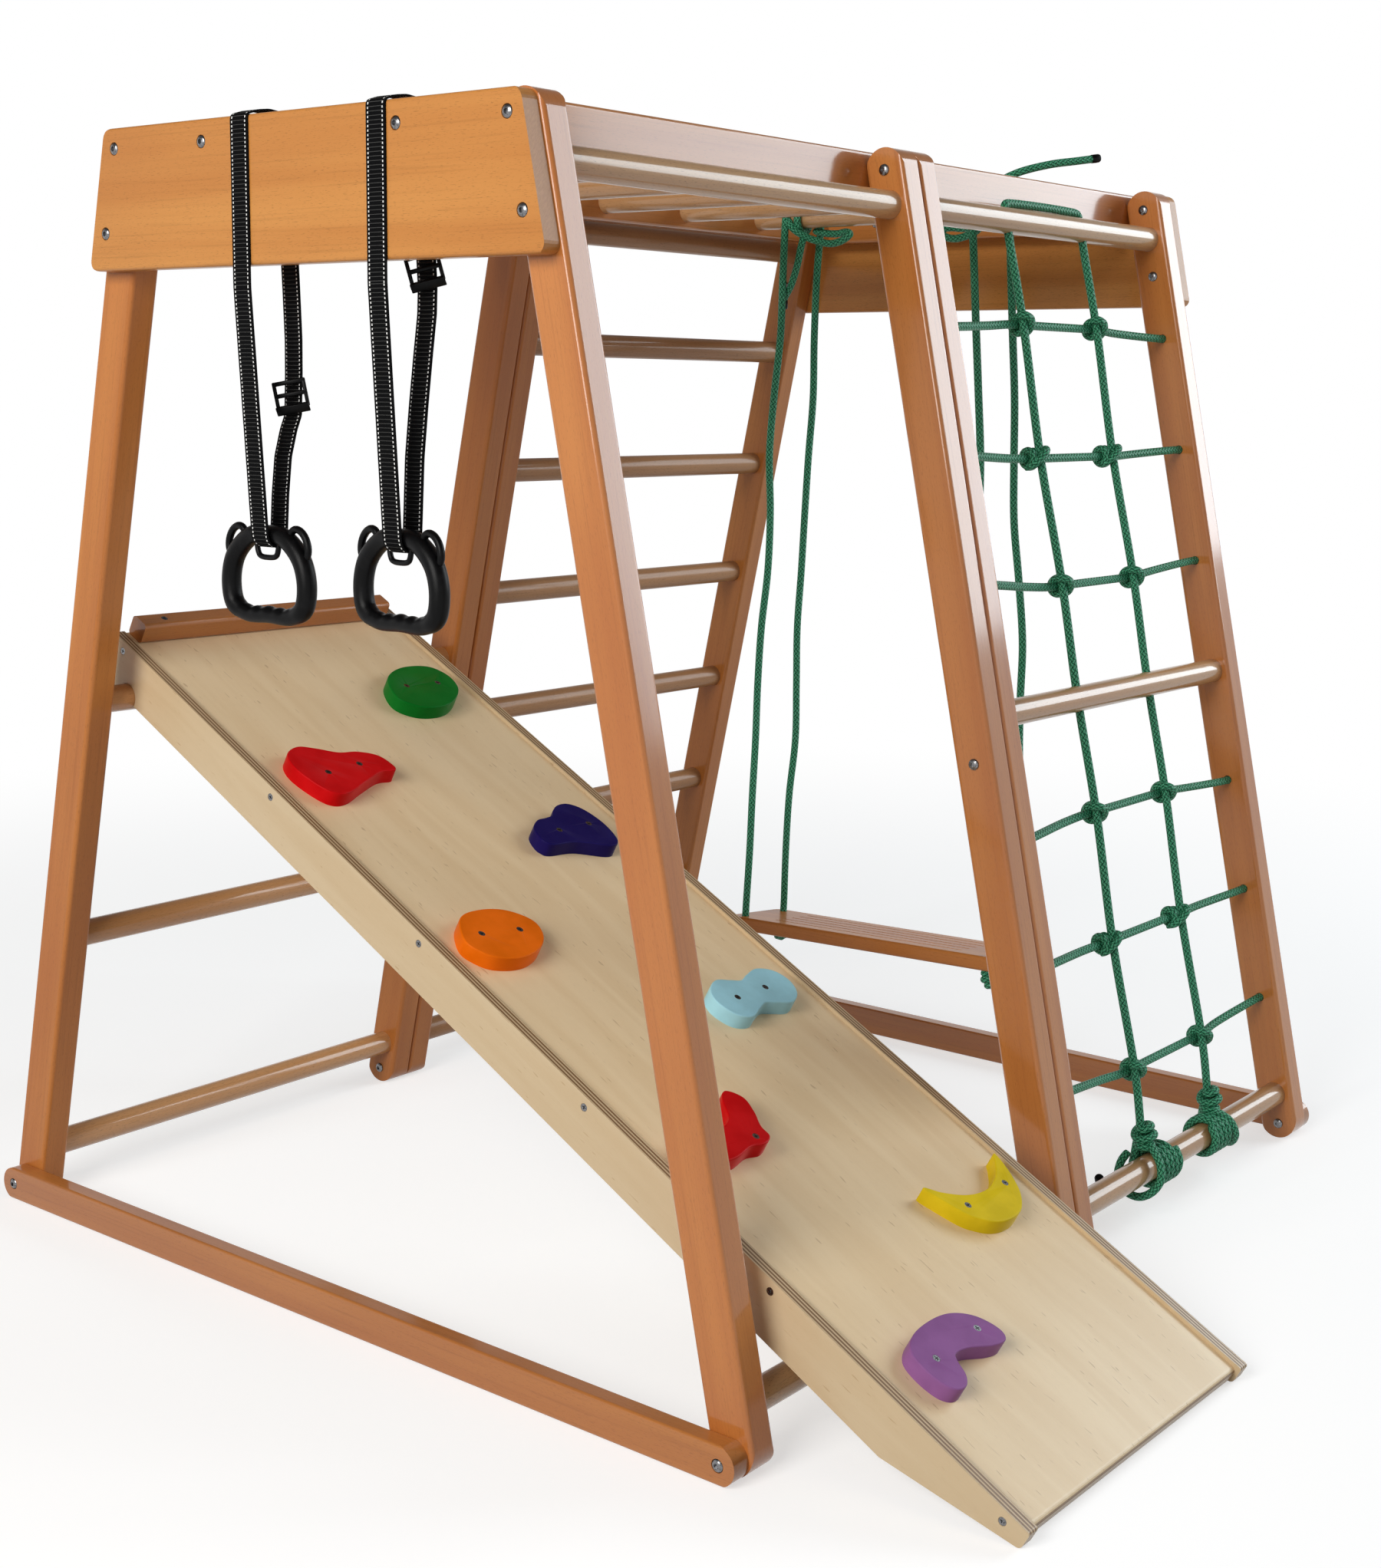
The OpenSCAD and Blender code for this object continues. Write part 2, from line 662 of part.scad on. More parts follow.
// Least gap between two stretches of a wound rope that lie over a quarter turn apart
function least_gap(path, apart) =
    let (n = len(path))
    min([for (i = [0:n - 2 - apart], j = [i + apart:n - 1]) norm(path[i] - path[j])]) - rope_d;
echo(net_rope_gap = least_gap(net_path, round(wind_steps * 0.6)));
echo(swing_rope_gap = least_gap(swing_path(BACK), round(wind_steps * 0.6)));

// Climbing board

// Board's own frame: middle of its width, up the slope from the nose, out of the surface
module on_slide() {
    in_frame() translate([slide_x, slide_y, slide_nose_h]) rotate([slide_a, 0, slide_turn]) children();
}

module slide_panel() {
    color(birch) on_slide() rotate([90, 0, 90]) translate([0, 0, -panel_w / 2]) linear_extrude(panel_w)
        polygon(rounded(
            [
                [panel_in, panel_top - ply_t], [slide_l, panel_top - ply_t],
                [slide_l, panel_top], [panel_in, panel_top]
            ],
            [2, 0, 0, 6]
        ));
}

module slide_rail(hand) {
    x = hand < 0 ? -slide_w / 2 : slide_w / 2 - ply_t;
    color(birch) difference() {
        on_slide() difference() {
            translate([x, 0, 0]) rotate([90, 0, 90]) linear_extrude(ply_t)
                polygon(rounded(
                    [
                        [0, -slide_tip_h], [slide_taper, -slide_rail_h], [slide_l, -slide_rail_h],
                        [slide_l, 0], [0, 0]
                    ],
                    [tip_r, 0, 6, 3, nose_r]
                ));
            for (w = slide_screw_w) slide_screw(hand, w, 0.2);
        }
        in_frame() along_x(slide_x - slide_w, rung_y, dowel_mid_z) cylinder(r = saddle_r, h = 2 * slide_w);
    }
}

// Countersunk screw through a rail into the panel's edge
module slide_screw(hand, w, play) {
    translate([hand * slide_w / 2, w, panel_top - ply_t / 2]) rotate([0, -hand * 90, 0])
        face_screw(play, ply_t);
}

cleat_l = panel_w - 2 * cleat_gap;
cleat_screw_x = [-0.41, 0.41] * cleat_l;

module slide_cleat() {
    color(beech) on_slide() difference() {
        along_x(-cleat_l / 2, slide_l - cleat_s / 2, panel_top + cleat_s / 2)
            bar(cleat_s, cleat_s, cleat_l, 5);
        for (x = cleat_screw_x)
            translate([x, slide_l - cleat_s / 2, panel_top + cleat_s])
                rotate([180, 0, 0]) face_screw(0.2, cleat_s);
    }
}

// Countersunk screw with a cross recess, or with play its bore, from a face at z = 0 into +Z
module face_screw(play, l) {
    is_bore = play > 0;
    more = is_bore ? screw_sunk + 2 * play : 0;
    difference() {
        union() {
            translate([0, 0, is_bore ? -0.01 : screw_sunk])
                cylinder(d1 = screw_head_d + more, d2 = screw_d + more, h = 4, $fn = 32);
            translate([0, 0, is_bore ? 0 : screw_sunk])
                cylinder(d = screw_d + 2 * play, h = l + (is_bore ? 1 : -screw_sunk), $fn = 32);
        }
        if (!is_bore)
            for (a = [0, 90])
                rotate(a) translate([-2.3, -0.5, screw_sunk - 1]) cube([4.6, 1, 2.6]);
    }
}

module slide_screws() {
    color(steel) on_slide() {
        for (hand = [-1, 1], w = slide_screw_w) slide_screw(hand, w, 0);
        for (x = cleat_screw_x)
            translate([x, slide_l - cleat_s / 2, panel_top + cleat_s])
                rotate([180, 0, 0]) face_screw(0, cleat_s);
    }
}

// Holds

// Outline of each hold about the middle of its two screws, anticlockwise
egg = [[-59, -18], [-42, -42], [-12, -49], [18, -42], [48, -19], [55, 11], [38, 35], [-5, 39], [-42, 21]];
drop = [
    [36, -12], [66, -14], [72, -1], [63, 15], [40, 26], [10, 30], [-11, 44], [-34, 51],
    [-56, 42], [-71, 3], [-60, -27], [-34, -44], [-11, -36], [9, -20]
];
pebble = [
    [-74, -4], [-66, -19], [-50, -22], [-21, -19], [-1, -34], [20, -41], [44, -27],
    [54, -3], [44, 27], [16, 44], [-12, 35], [-32, 24], [-58, 17]
];
round_egg = [
    [-54, 2], [-49, -21], [-34, -36], [-4, -44], [26, -38], [48, -21], [54, 4],
    [33, 29], [0, 39], [-32, 34]
];
peanut = [
    [-60, 0], [-52, -23], [-33, -32], [-13, -25], [4, -20], [20, -25], [41, -31], [61, -22],
    [70, -2], [63, 19], [42, 30], [20, 26], [4, 21], [-11, 26], [-31, 32], [-53, 20]
];
boomerang = [
    [-62, 9], [-52, -12], [-22, -17], [8, -12], [28, -15], [43, -9], [45, 6], [55, 25],
    [60, 46], [47, 62], [32, 53], [16, 29], [-8, 23], [-38, 31], [-58, 25]
];
crescent = [
    [-68, 38], [-62, 15], [-47, -15], [-27, -31], [3, -38], [28, -31], [53, -6],
    [65, 20], [67, 38], [52, 33], [28, 18], [0, 10], [-27, 13], [-52, 28]
];
kidney = [
    [-6, -7], [16, -8], [38, -18], [57, -22], [66, -10], [56, 12], [30, 26], [0, 31],
    [-34, 24], [-56, 12], [-64, -4], [-57, -24], [-42, -35], [-28, -32], [-21, -16]
];

// Middle of the screws on the board [across, up], turn of their line, and distance between them
wide_gap = 1.5 * hold_screw_gap;
function from_rail(hand, d) = hand * (panel_w / 2 - d);
hold_places = [
    [[from_rail(1, 87.5), 1264], -2, hold_screw_gap],
    [[from_rail(-1, 84.5), 1131], 6, hold_screw_gap],
    [[from_rail(1, 97.5), 958], 0, hold_screw_gap],
    [[from_rail(-1, 66.5), 826], -9, hold_screw_gap],
    [[from_rail(1, 106.5), 642], 1, hold_screw_gap],
    [[from_rail(-1, 87.5), 471], -6, hold_screw_gap],
    [[from_rail(1, 92.5), 295], 2, wide_gap],
    [[from_rail(-1, 94.5), 175], 3, wide_gap]
];

// Slab with its upper edge rounded in fine steps and two countersunk screw holes
edge_steps = 3;
module hold(i, points, paint) {
    outline = loop(points, 3);
    color(paint) on_slide() translate([hold_places[i][0].x, hold_places[i][0].y, panel_top]) difference() {
        for (k = [0:edge_steps]) {
            a = 90 * k / edge_steps;
            linear_extrude(hold_t - hold_r * (1 - sin(a)))
                polygon(inset(outline, hold_r * (1 - cos(a)) * 0.8));
        }
        rotate(hold_places[i][1]) for (s = [-1, 1])
            translate([s * hold_places[i][2] / 2, 0, hold_t]) rotate([180, 0, 0]) face_screw(0.2, hold_t);
    }
}

module hold_screws() {
    color(steel) on_slide() for (h = hold_places)
        translate([h[0].x, h[0].y, panel_top]) rotate(h[1]) for (s = [-1, 1])
            translate([s * h[2] / 2, 0, hold_t]) rotate([180, 0, 0]) face_screw(0, hold_t);
}

// Ring straps

// Band of webbing along a path in the XZ plane
function band(path) =
    let (n = len(path))
    let (normals = [for (i = [0:n - 1])
        let (along = unit(path[min(i + 1, n - 1)] - path[max(i - 1, 0)]))
        [-along.y, along.x] * strap_t / 2])
    concat([for (i = [0:n - 1]) path[i] + normals[i]], [for (i = [n - 1:-1:0]) path[i] - normals[i]]);

module webbing(path, y) {
    color(black) in_frame() translate([0, y + strap_w / 2, 0]) rotate([90, 0, 0])
        linear_extrude(strap_w) polygon(band(path));
}

// Over the board and the cross-piece, down to a hair above the line where the webbing bends
strap_fold_r = 4;
strap_seam = 0.5;
fold_z = strap_top_z - strap_fold_r;
function strap_top_path(i) = [
    [strap_out_x, strap_bend_z + strap_seam],
    for (a = [180:-30:90]) [strap_out_x + strap_fold_r, fold_z] + strap_fold_r * [cos(a), sin(a)],
    for (a = [90:-30:0]) [strap_in_x - strap_fold_r, fold_z] + strap_fold_r * [cos(a), sin(a)],
    [strap_in_x, board_top - beam_h],
    sling_run(i, 1, sling_bows[i][len(sling_bows[i]) - 1][1]) + [0, strap_seam]
];

// Below the board, round the ring's top bar; the inner run bows out at its buckle.
// Bows: share of the run's height, and distance from the straight line in widths of webbing
sling_bows = [
    [
        [0.16, 0.04], [0.32, 0.16], [0.43, 0.44], [0.49, 0.68],
        [0.66, 0.68], [0.8, 0.64], [0.95, 0.52], [1, 0.48]
    ],
    [[0.32, 0.04], [0.53, 0.2], [0.74, 0.4], [0.89, 0.56], [1, 0.56]]
];
function sling_run(i, share, bow) = [
    ring_x + sling_r[i] + (sling_in_x - ring_x - sling_r[i]) * share + bow * strap_w,
    ring_z + ring_up[i] + (strap_bend_z - ring_z - ring_up[i]) * share
];
function sling_path(i) = [
    [strap_out_x, strap_bend_z],
    for (a = [180:20:360]) [ring_x, ring_z + ring_up[i]] + sling_r[i] * [cos(a), sin(a)],
    for (b = sling_bows[i]) sling_run(i, b[0], b[1])
];

buckle_h = 30;
buckle_w = strap_w + 8;
buckle_t = 4;
top_run = [sling_run(1, 1, 0.56), [strap_in_x, board_top - beam_h]];

// Middle of each buckle, and the direction of the webbing there
buckle_at = [sling_run(0, 0.574, 0.68), top_run[0] + 0.14 * (top_run[1] - top_run[0])];
buckle_run = [sling_run(0, 1, 0) - sling_run(0, 0, 0), top_run[1] - top_run[0]];

// Frame of a ladder-lock buckle against the inner run of the webbing, with its raised lip
module buckle(i, y) {
    at = buckle_at[i];
    tilt = atan(buckle_run[i].x / buckle_run[i].y);
    color(black) in_frame() translate([at.x, y, at.y]) rotate([0, tilt, 0])
    translate([strap_t / 2 + 0.4, 0, 0]) rotate([90, 0, 90]) {
        difference() {
            linear_extrude(buckle_t) polygon(rectangle(buckle_w, buckle_h, 3));
            for (s = [-1, 1])
                translate([-strap_w / 2, s * 7.5 - 3.5, -1]) cube([strap_w, 7, buckle_t + 2]);
        }
        translate([-buckle_w / 2, -buckle_h / 2, buckle_t]) rotate([90, 0, 90])
            linear_extrude(buckle_w) polygon([[0, 0], [4, 0], [-2, 7], [-4, 6]]);
    }
}

// Hand ring: an arch with a flat grip below, two ears and an inner loop for the webbing
ring_half = [[36, -85], [55, -76], [60.5, -53], [54, -27], [37, -9], [20, -0.8]];
ring_points = concat(
    [[0, 0]], [for (p = reversed(ring_half)) [-p.x, p.y]], [[0, -85]], ring_half
);
ring_steps = 4;
ring_curve = loop(ring_points, ring_steps);
grip_r = 9.5;
side_r = 12;

// The tube is fullest at the sides and waved along the grip
function ring_r(p) =
    p.y < -82 ? grip_r + 0.8 * cos(p.x * 20) : ring_tube_r + (side_r - ring_tube_r) * min(1, abs(p.x) / 50);

function in_ring(points) = [for (p = points) [0, p.x, p.y]];
inner_loop = [[-19.2, -4], [-19.2, -15], [-13, -22.5], [0, -24.5], [13, -22.5], [19.2, -15], [19.2, -4]];
inner_loop_r = 3;
loop_r = 4;
ear_at = [48, -5];
ear_r = 13;

module ring(i, y) {
    color(black) in_frame() translate([ring_x, y + ring_off[i], ring_z + ring_up[i]]) rotate(ring_turn[i]) {
        tube(in_ring(ring_curve), [for (p = ring_curve) ring_r(p)], 10, [1, 0, 0], true);
        tube(in_ring(inner_loop), [for (p = inner_loop) inner_loop_r], 8);
        for (s = [-1, 1]) {
            ear = [for (a = [0:30:330]) [s * ear_at.x, ear_at.y] + ear_r * [cos(a), sin(a)]];
            tube(in_ring(ear), [for (p = ear) loop_r], 8, [1, 0, 0], true);
        }
    }
}

// One module per node

module leg_front_left() { leg(0, FRONT); }
module leg_front_mid_left() { leg(1, FRONT); }
module leg_front_mid_right() { leg(2, FRONT); }
module leg_front_right() { leg(3, FRONT); }
module leg_back_left() { leg(0, BACK); }
module leg_back_mid_left() { leg(1, BACK); }
module leg_back_mid_right() { leg(2, BACK); }
module leg_back_right() { leg(3, BACK); }
module end_board_left() { end_board(-1); }
module end_board_right() { end_board(1); }
module floor_rail_left() { floor_rail(-1); }
module floor_rail_right() { floor_rail(1); }
module top_beam_front() { top_beam(FRONT); }
module top_beam_back() { top_beam(BACK); }
module top_cross_left() { top_cross(-1); }
module top_cross_right() { top_cross(1); }
module front_left_dowels() { dowels(0, FRONT, panel_dowels[0][0]); }
module net_dowel_top() { net_dowel(dowel_top_z); }
module net_dowel_mid() { net_dowel(dowel_mid_z); }
module net_dowel_low() { dowels(1, FRONT, [dowel_low_z]); }
module back_left_rungs() { dowels(0, BACK, [dowel_low_z, low_rung_z, dowel_top_z]); }
module board_rung() { dowels(0, BACK, [dowel_mid_z]); }
module ladder_rungs() { dowels(1, BACK, ladder_z); }
module swing_rope_back() { swing_rope(BACK); }
module swing_rope_front() { swing_rope(FRONT); }
module slide_rail_left() { slide_rail(-1); }
module slide_rail_right() { slide_rail(1); }
module hold_green() { hold(0, egg, [0.06, 0.42, 0.14]); }
module hold_red_upper() { hold(1, drop, [0.80, 0.03, 0.04]); }
module hold_navy() { hold(2, pebble, [0.05, 0.04, 0.38]); }
module hold_orange() { hold(3, round_egg, [0.96, 0.45, 0.04]); }
module hold_sky() { hold(4, peanut, [0.48, 0.74, 0.82]); }
module hold_red_lower() { hold(5, boomerang, [0.80, 0.03, 0.04]); }
module hold_yellow() { hold(6, crescent, [0.93, 0.82, 0.05]); }
module hold_purple() { hold(7, kidney, [0.45, 0.22, 0.55]); }
module strap_top_1() { webbing(strap_top_path(0), strap_y1); }
module strap_top_2() { webbing(strap_top_path(1), strap_y2); }
module strap_sling_1() { webbing(sling_path(0), strap_y1); }
module strap_sling_2() { webbing(sling_path(1), strap_y2); }
module buckle_1() { buckle(0, strap_y1); }
module buckle_2() { buckle(1, strap_y2); }
module ring_1() { ring(0, strap_y1); }
module ring_2() { ring(1, strap_y2); }

leg_front_left();
leg_front_mid_left();
leg_front_mid_right();
leg_front_right();
leg_back_left();
leg_back_mid_left();
leg_back_mid_right();
leg_back_right();
end_board_left();
end_board_right();
floor_rail_left();
floor_rail_right();
top_beam_front();
top_beam_back();
top_cross_left();
top_cross_right();
monkey_bars();
swing_bar();
front_left_dowels();
net_dowel_top();
net_dowel_mid();
net_dowel_low();
back_left_rungs();
board_rung();
ladder_rungs();
end_bolts();
end_nuts();
centre_bolts();
centre_nuts();
beam_screws();
net_upright_rope();
net_cross_ropes();
swing_seat();
swing_rope_back();
swing_rope_front();
slide_panel();
slide_rail_left();
slide_rail_right();
slide_cleat();
hold_green();
hold_red_upper();
hold_navy();
hold_orange();
hold_sky();
hold_red_lower();
hold_yellow();
hold_purple();
hold_screws();
slide_screws();
strap_top_1();
strap_top_2();
strap_sling_1();
strap_sling_2();
buckle_1();
buckle_2();
ring_1();
ring_2();
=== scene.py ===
"""Looks of the wooden climbing frame: lacquered beech, birch plywood, painted holds, braided rope, webbing and
moulded rings.

Metres, in the part's own frame: +X along the frame from the rings to the swing, -Y towards the foot of the board,
+Z up.
"""

from itertools import product
from math import atan, atan2, ceil, cos, degrees, pi, radians, sin

import bpy
import numpy as np
from mathutils import Matrix, Vector


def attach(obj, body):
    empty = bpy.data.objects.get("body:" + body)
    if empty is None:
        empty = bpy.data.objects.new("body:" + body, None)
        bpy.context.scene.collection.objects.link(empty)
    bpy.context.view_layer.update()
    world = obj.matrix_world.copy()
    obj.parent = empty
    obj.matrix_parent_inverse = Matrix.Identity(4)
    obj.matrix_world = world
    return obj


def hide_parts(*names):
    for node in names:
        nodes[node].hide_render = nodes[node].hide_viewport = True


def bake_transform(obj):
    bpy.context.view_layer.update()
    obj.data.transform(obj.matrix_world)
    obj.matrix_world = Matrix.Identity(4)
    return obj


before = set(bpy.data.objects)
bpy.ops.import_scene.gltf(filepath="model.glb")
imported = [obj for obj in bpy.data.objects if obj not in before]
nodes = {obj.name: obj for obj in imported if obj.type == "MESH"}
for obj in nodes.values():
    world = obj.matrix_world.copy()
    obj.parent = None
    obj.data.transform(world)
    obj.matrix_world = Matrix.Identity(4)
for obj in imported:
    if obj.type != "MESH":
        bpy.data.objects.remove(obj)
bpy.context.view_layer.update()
scene = bpy.context.scene

# Sizes and places that the soft pieces share with the solids

Y_MID = 0.12983  # the middle plane between the front and back legs
LEAN = 0.2146341  # a leg's run in Y over its height
LEAN_A = atan(LEAN)
FOOT_Y, FOOT_Z = 0.5545, 0.020  # a leg's centre line at its foot, from the middle plane
DOWEL_R, ROPE_R, ROPE_D = 0.016, 0.00525, 0.0105
ROPE_GAP = 0.0004  # room between a rope and what it lies on
WIND_R = DOWEL_R + ROPE_R + ROPE_GAP
LOW_Z, MID_Z, TOP_Z = 0.060, 0.633, 1.211  # the dowels of the net
LOW_Y = FOOT_Y - (LOW_Z - FOOT_Z) * LEAN  # the bottom one, from the middle plane
NET_SHARE = 0.2568  # spacing of the cross ropes over that of the dowels
BAY_X = (0.0353, 0.594)
NET_X = [BAY_X[0] + i * (BAY_X[1] - BAY_X[0]) / 3 for i in (1, 2)]
SWING_X, BAR_Z = 0.4242857, 1.247
SLIDE_A, SLIDE_TURN = radians(28.4032), radians(-0.4)
NOSE_X, NOSE_Y, NOSE_R = -0.347, -0.837621, 0.006  # the rounded foot of the climbing board
TAPER_H, TAPER_L, TIP_H = 0.040, 0.150, 0.020  # how its side rails narrow towards the foot
PLY_T = 0.015 / 7
RING_X, BEND_Z, RING_Z = -0.6225, 1.100, 0.846
STRAP_Y = (0.082, -0.119)
RING_OFF, RING_UP, RING_TURN = (0.003, 0.003), (0.0, 0.006), (0.0, radians(-5))


def slide_axes():
    """The climbing board's across, up-slope and outward directions, and the middle of its nose."""
    turn = Matrix.Rotation(SLIDE_TURN, 3, "Z")
    across = turn @ Vector((1, 0, 0))
    up = turn @ Vector((0, cos(SLIDE_A), sin(SLIDE_A)))
    out = turn @ Vector((0, -sin(SLIDE_A), cos(SLIDE_A)))
    taper = atan2(TAPER_H, TAPER_L)
    tip = -TIP_H + NOSE_R * (1 - sin(taper)) / cos(taper)
    nose_z = NOSE_R - NOSE_R * sin(SLIDE_A) - tip * cos(SLIDE_A)
    return across, up, out, Vector((NOSE_X, NOSE_Y + Y_MID, nose_z))


ACROSS, UP, OUT, NOSE = slide_axes()

# Shader graphs


class Look:
    """A material or the world, and the nodes that make it."""

    def __init__(self, name, world=False):
        self.made = bpy.data.worlds.new(name) if world else bpy.data.materials.new(name)
        self.made.use_nodes = True
        self.tree = self.made.node_tree
        self.shader = self.tree.nodes["Background" if world else "Principled BSDF"]
        self.output = self.tree.nodes["World Output" if world else "Material Output"]

    def feed(self, socket, value):
        """Link another node's output to a socket, or set the socket to a plain value."""
        if isinstance(value, bpy.types.NodeSocket):
            self.tree.links.new(value, socket)
        else:
            socket.default_value = value

    def node(self, kind, inputs=None, **options):
        made = self.tree.nodes.new("ShaderNode" + kind)
        for key, value in options.items():
            setattr(made, key, value)
        for key, value in (inputs or {}).items():
            self.feed(made.inputs[key], value)
        return made

    def set(self, **values):
        for key, value in values.items():
            self.feed(self.shader.inputs[key.replace("_", " ")], value)

    def math(self, operation, a, b=0.0, c=0.0):
        return self.node("Math", {0: a, 1: b, 2: c}, operation=operation).outputs[0]

    def times(self, a, b):
        return self.math("MULTIPLY", a, b)

    def times_plus(self, a, b, c):
        return self.math("MULTIPLY_ADD", a, b, c)

    def minus(self, a, b):
        return self.math("SUBTRACT", a, b)

    def abs(self, a):
        return self.math("ABSOLUTE", a)

    def below(self, a, limit):
        return self.math("LESS_THAN", a, limit)

    def dot(self, vector, axis):
        return self.node("VectorMath", {0: vector, 1: tuple(axis)}, operation="DOT_PRODUCT").outputs["Value"]

    def vector(self, x, y, z):
        return self.node("CombineXYZ", {0: x, 1: y, 2: z}).outputs[0]

    def noise(self, vector, scale=1.0, detail=2.0, distortion=0.0):
        inputs = {"Vector": vector, "Scale": scale, "Detail": detail, "Distortion": distortion}
        return self.node("TexNoise", inputs).outputs["Fac"]

    def steps(self, value, low, high):
        """0 below low, 1 above high, smooth between."""
        inputs = {"Value": value, "From Min": low, "From Max": high}
        return self.node("MapRange", inputs, interpolation_type="SMOOTHSTEP").outputs[0]

    def span(self, value, low, high):
        """A 0 to 1 value spread over low to high."""
        return self.node("MapRange", {"Value": value, "To Min": low, "To Max": high}).outputs[0]

    def mix(self, share, a, b, blend="MIX"):
        made = self.node("Mix", {0: share}, data_type="RGBA", blend_type=blend)
        for socket, value in ((6, a), (7, b)):
            self.feed(made.inputs[socket], value if isinstance(value, bpy.types.NodeSocket) else (*value, 1.0))
        return made.outputs[2]

    def cover(self, under, over, value, low, high, share=1.0):
        """One colour over another, up to a share, where a value rises from low to high."""
        return self.mix(self.times(self.steps(value, low, high), share), under, over)

    def bump(self, height, strength, distance):
        inputs = {"Height": height, "Strength": strength, "Distance": distance}
        return self.node("Bump", inputs).outputs[0]

    def place(self):
        """Position and normal in the part's own frame, at rest."""
        made = self.node("TexCoord")
        return made.outputs["Object"], made.outputs["Normal"]

    def uv(self):
        """The two UV coordinates."""
        split = self.node("SeparateXYZ", {0: self.node("TexCoord").outputs["UV"]})
        return split.outputs[0], split.outputs[1]


def shaded(colour, share):
    return tuple(share * c for c in colour)


def wood(name, along, light, dark, red, coat=0.9, flecks=0.3, contrast=0.7):
    """Lacquered beech whose grain runs along a direction: soft bands, fine streaks and short dark flecks."""
    look = Look(name)
    along = Vector(along).normalized()
    side = along.orthogonal().normalized()
    place, normal = look.place()
    own = look.node("ObjectInfo").outputs["Random"]
    u = look.times_plus(own, 9.0, look.dot(place, along))
    v = look.times_plus(own, 3.0, look.dot(place, side))
    w = look.dot(place, along.cross(side))

    def stretched(a, b):
        return look.vector(look.times(u, a), look.times(v, b), look.times(w, b))

    bands = look.noise(stretched(0.9, 26.0), detail=3.0, distortion=0.5)
    patches = look.noise(stretched(1.6, 6.0))
    streaks = look.noise(stretched(7.0, 380.0), detail=3.0)
    dashes = look.noise(stretched(170.0, 1500.0), detail=1.0)
    fleck = look.times(look.steps(dashes, 0.6, 0.72), flecks)
    colour = look.cover(light, dark, bands, 0.32, 0.7, contrast)
    colour = look.cover(colour, red, patches, 0.45, 0.75, 0.7)
    colour = look.cover(colour, shaded(dark, 0.62), streaks, 0.5, 0.8, 0.3)
    colour = look.mix(fleck, colour, shaded(dark, 0.45))
    rings = look.noise(look.vector(look.times(v, 160.0), look.times(w, 520.0), 0.0))
    end_colour = look.mix(rings, shaded(light, 0.8), shaded(dark, 0.55))
    colour = look.cover(colour, end_colour, look.abs(look.dot(normal, along)), 0.75, 0.95, 0.75)
    tone = look.span(own, 0.9, 1.08)
    colour = look.mix(1.0, colour, look.vector(tone, tone, tone), blend="MULTIPLY")
    peel = look.noise(place, scale=420.0, detail=1.0)
    height = look.minus(look.times_plus(streaks, 0.5, peel), fleck)
    look.set(
        Base_Color=colour,
        Roughness=look.span(streaks, 0.38, 0.5),
        Specular_IOR_Level=0.15,
        Coat_Weight=coat,
        Coat_Roughness=0.11,
        Normal=look.bump(height, 0.1, 0.0004),
    )
    return look.made


def plywood(name, through, offset, tone):
    """Birch plywood: pale rotary-cut faces, and edges striped by plies. Through is the direction across them."""
    look = Look(name)
    place, normal = look.place()

    def from_nose(axis, start=0.0):
        return look.minus(look.dot(place, axis), NOSE.dot(axis) + start)

    x, w, h, depth = from_nose(ACROSS), from_nose(UP), from_nose(OUT), from_nose(through, offset)

    def stretched(a, b):
        return look.vector(look.times(x, a), look.times(w, b), look.times(h, a))

    drift = look.noise(look.vector(look.times(x, 3.0), look.times(w, 1.2), h), detail=3.0)
    bent = look.times_plus(drift, 2.2, look.times(x, 30.0))
    figure = look.noise(look.vector(bent, look.times(w, 3.0), look.times(h, 30.0)), detail=4.0, distortion=0.6)
    pores = look.noise(stretched(1500.0, 90.0), detail=1.0)
    pith = look.noise(stretched(420.0, 60.0), detail=0.0)
    face = look.cover(shaded((0.72, 0.555, 0.345), tone), shaded((0.67, 0.495, 0.290), tone), figure, 0.3, 0.7)
    face = look.cover(face, shaded((0.74, 0.59, 0.39), tone), drift, 0.4, 0.75, 0.4)
    face = look.cover(face, (0.42, 0.27, 0.13), pores, 0.58, 0.75, 0.09)
    face = look.cover(face, (0.40, 0.22, 0.09), pith, 0.78, 0.83, 0.4)
    wander = look.noise(stretched(9.0, 9.0), detail=1.0)
    ply = look.times_plus(look.minus(wander, 0.5), 0.35, look.math("DIVIDE", depth, PLY_T))
    odd = look.math("FLOORED_MODULO", look.math("FLOOR", ply), 2.0)
    seam = look.steps(look.abs(look.minus(look.math("FRACT", ply), 0.5)), 0.32, 0.5)
    end_grain = look.noise(stretched(900.0, 500.0))
    edge = look.mix(odd, (0.66, 0.49, 0.29), (0.20, 0.10, 0.04))
    edge = look.mix(look.times(end_grain, 0.3), edge, (0.36, 0.21, 0.10))
    edge = look.mix(look.times(seam, 0.55), edge, (0.10, 0.05, 0.02))
    is_edge = look.minus(1.0, look.steps(look.abs(look.dot(normal, through)), 0.55, 0.75))
    layers = look.times(look.minus(1.0, seam), is_edge)
    height = look.times_plus(layers, 1.5, look.times_plus(figure, 0.4, pores))
    look.set(
        Base_Color=look.mix(is_edge, face, edge),
        Roughness=look.span(figure, 0.36, 0.48),
        Specular_IOR_Level=0.25,
        Coat_Weight=0.35,
        Coat_Roughness=0.24,
        Normal=look.bump(height, 0.12, 0.0005),
    )
    return look.made


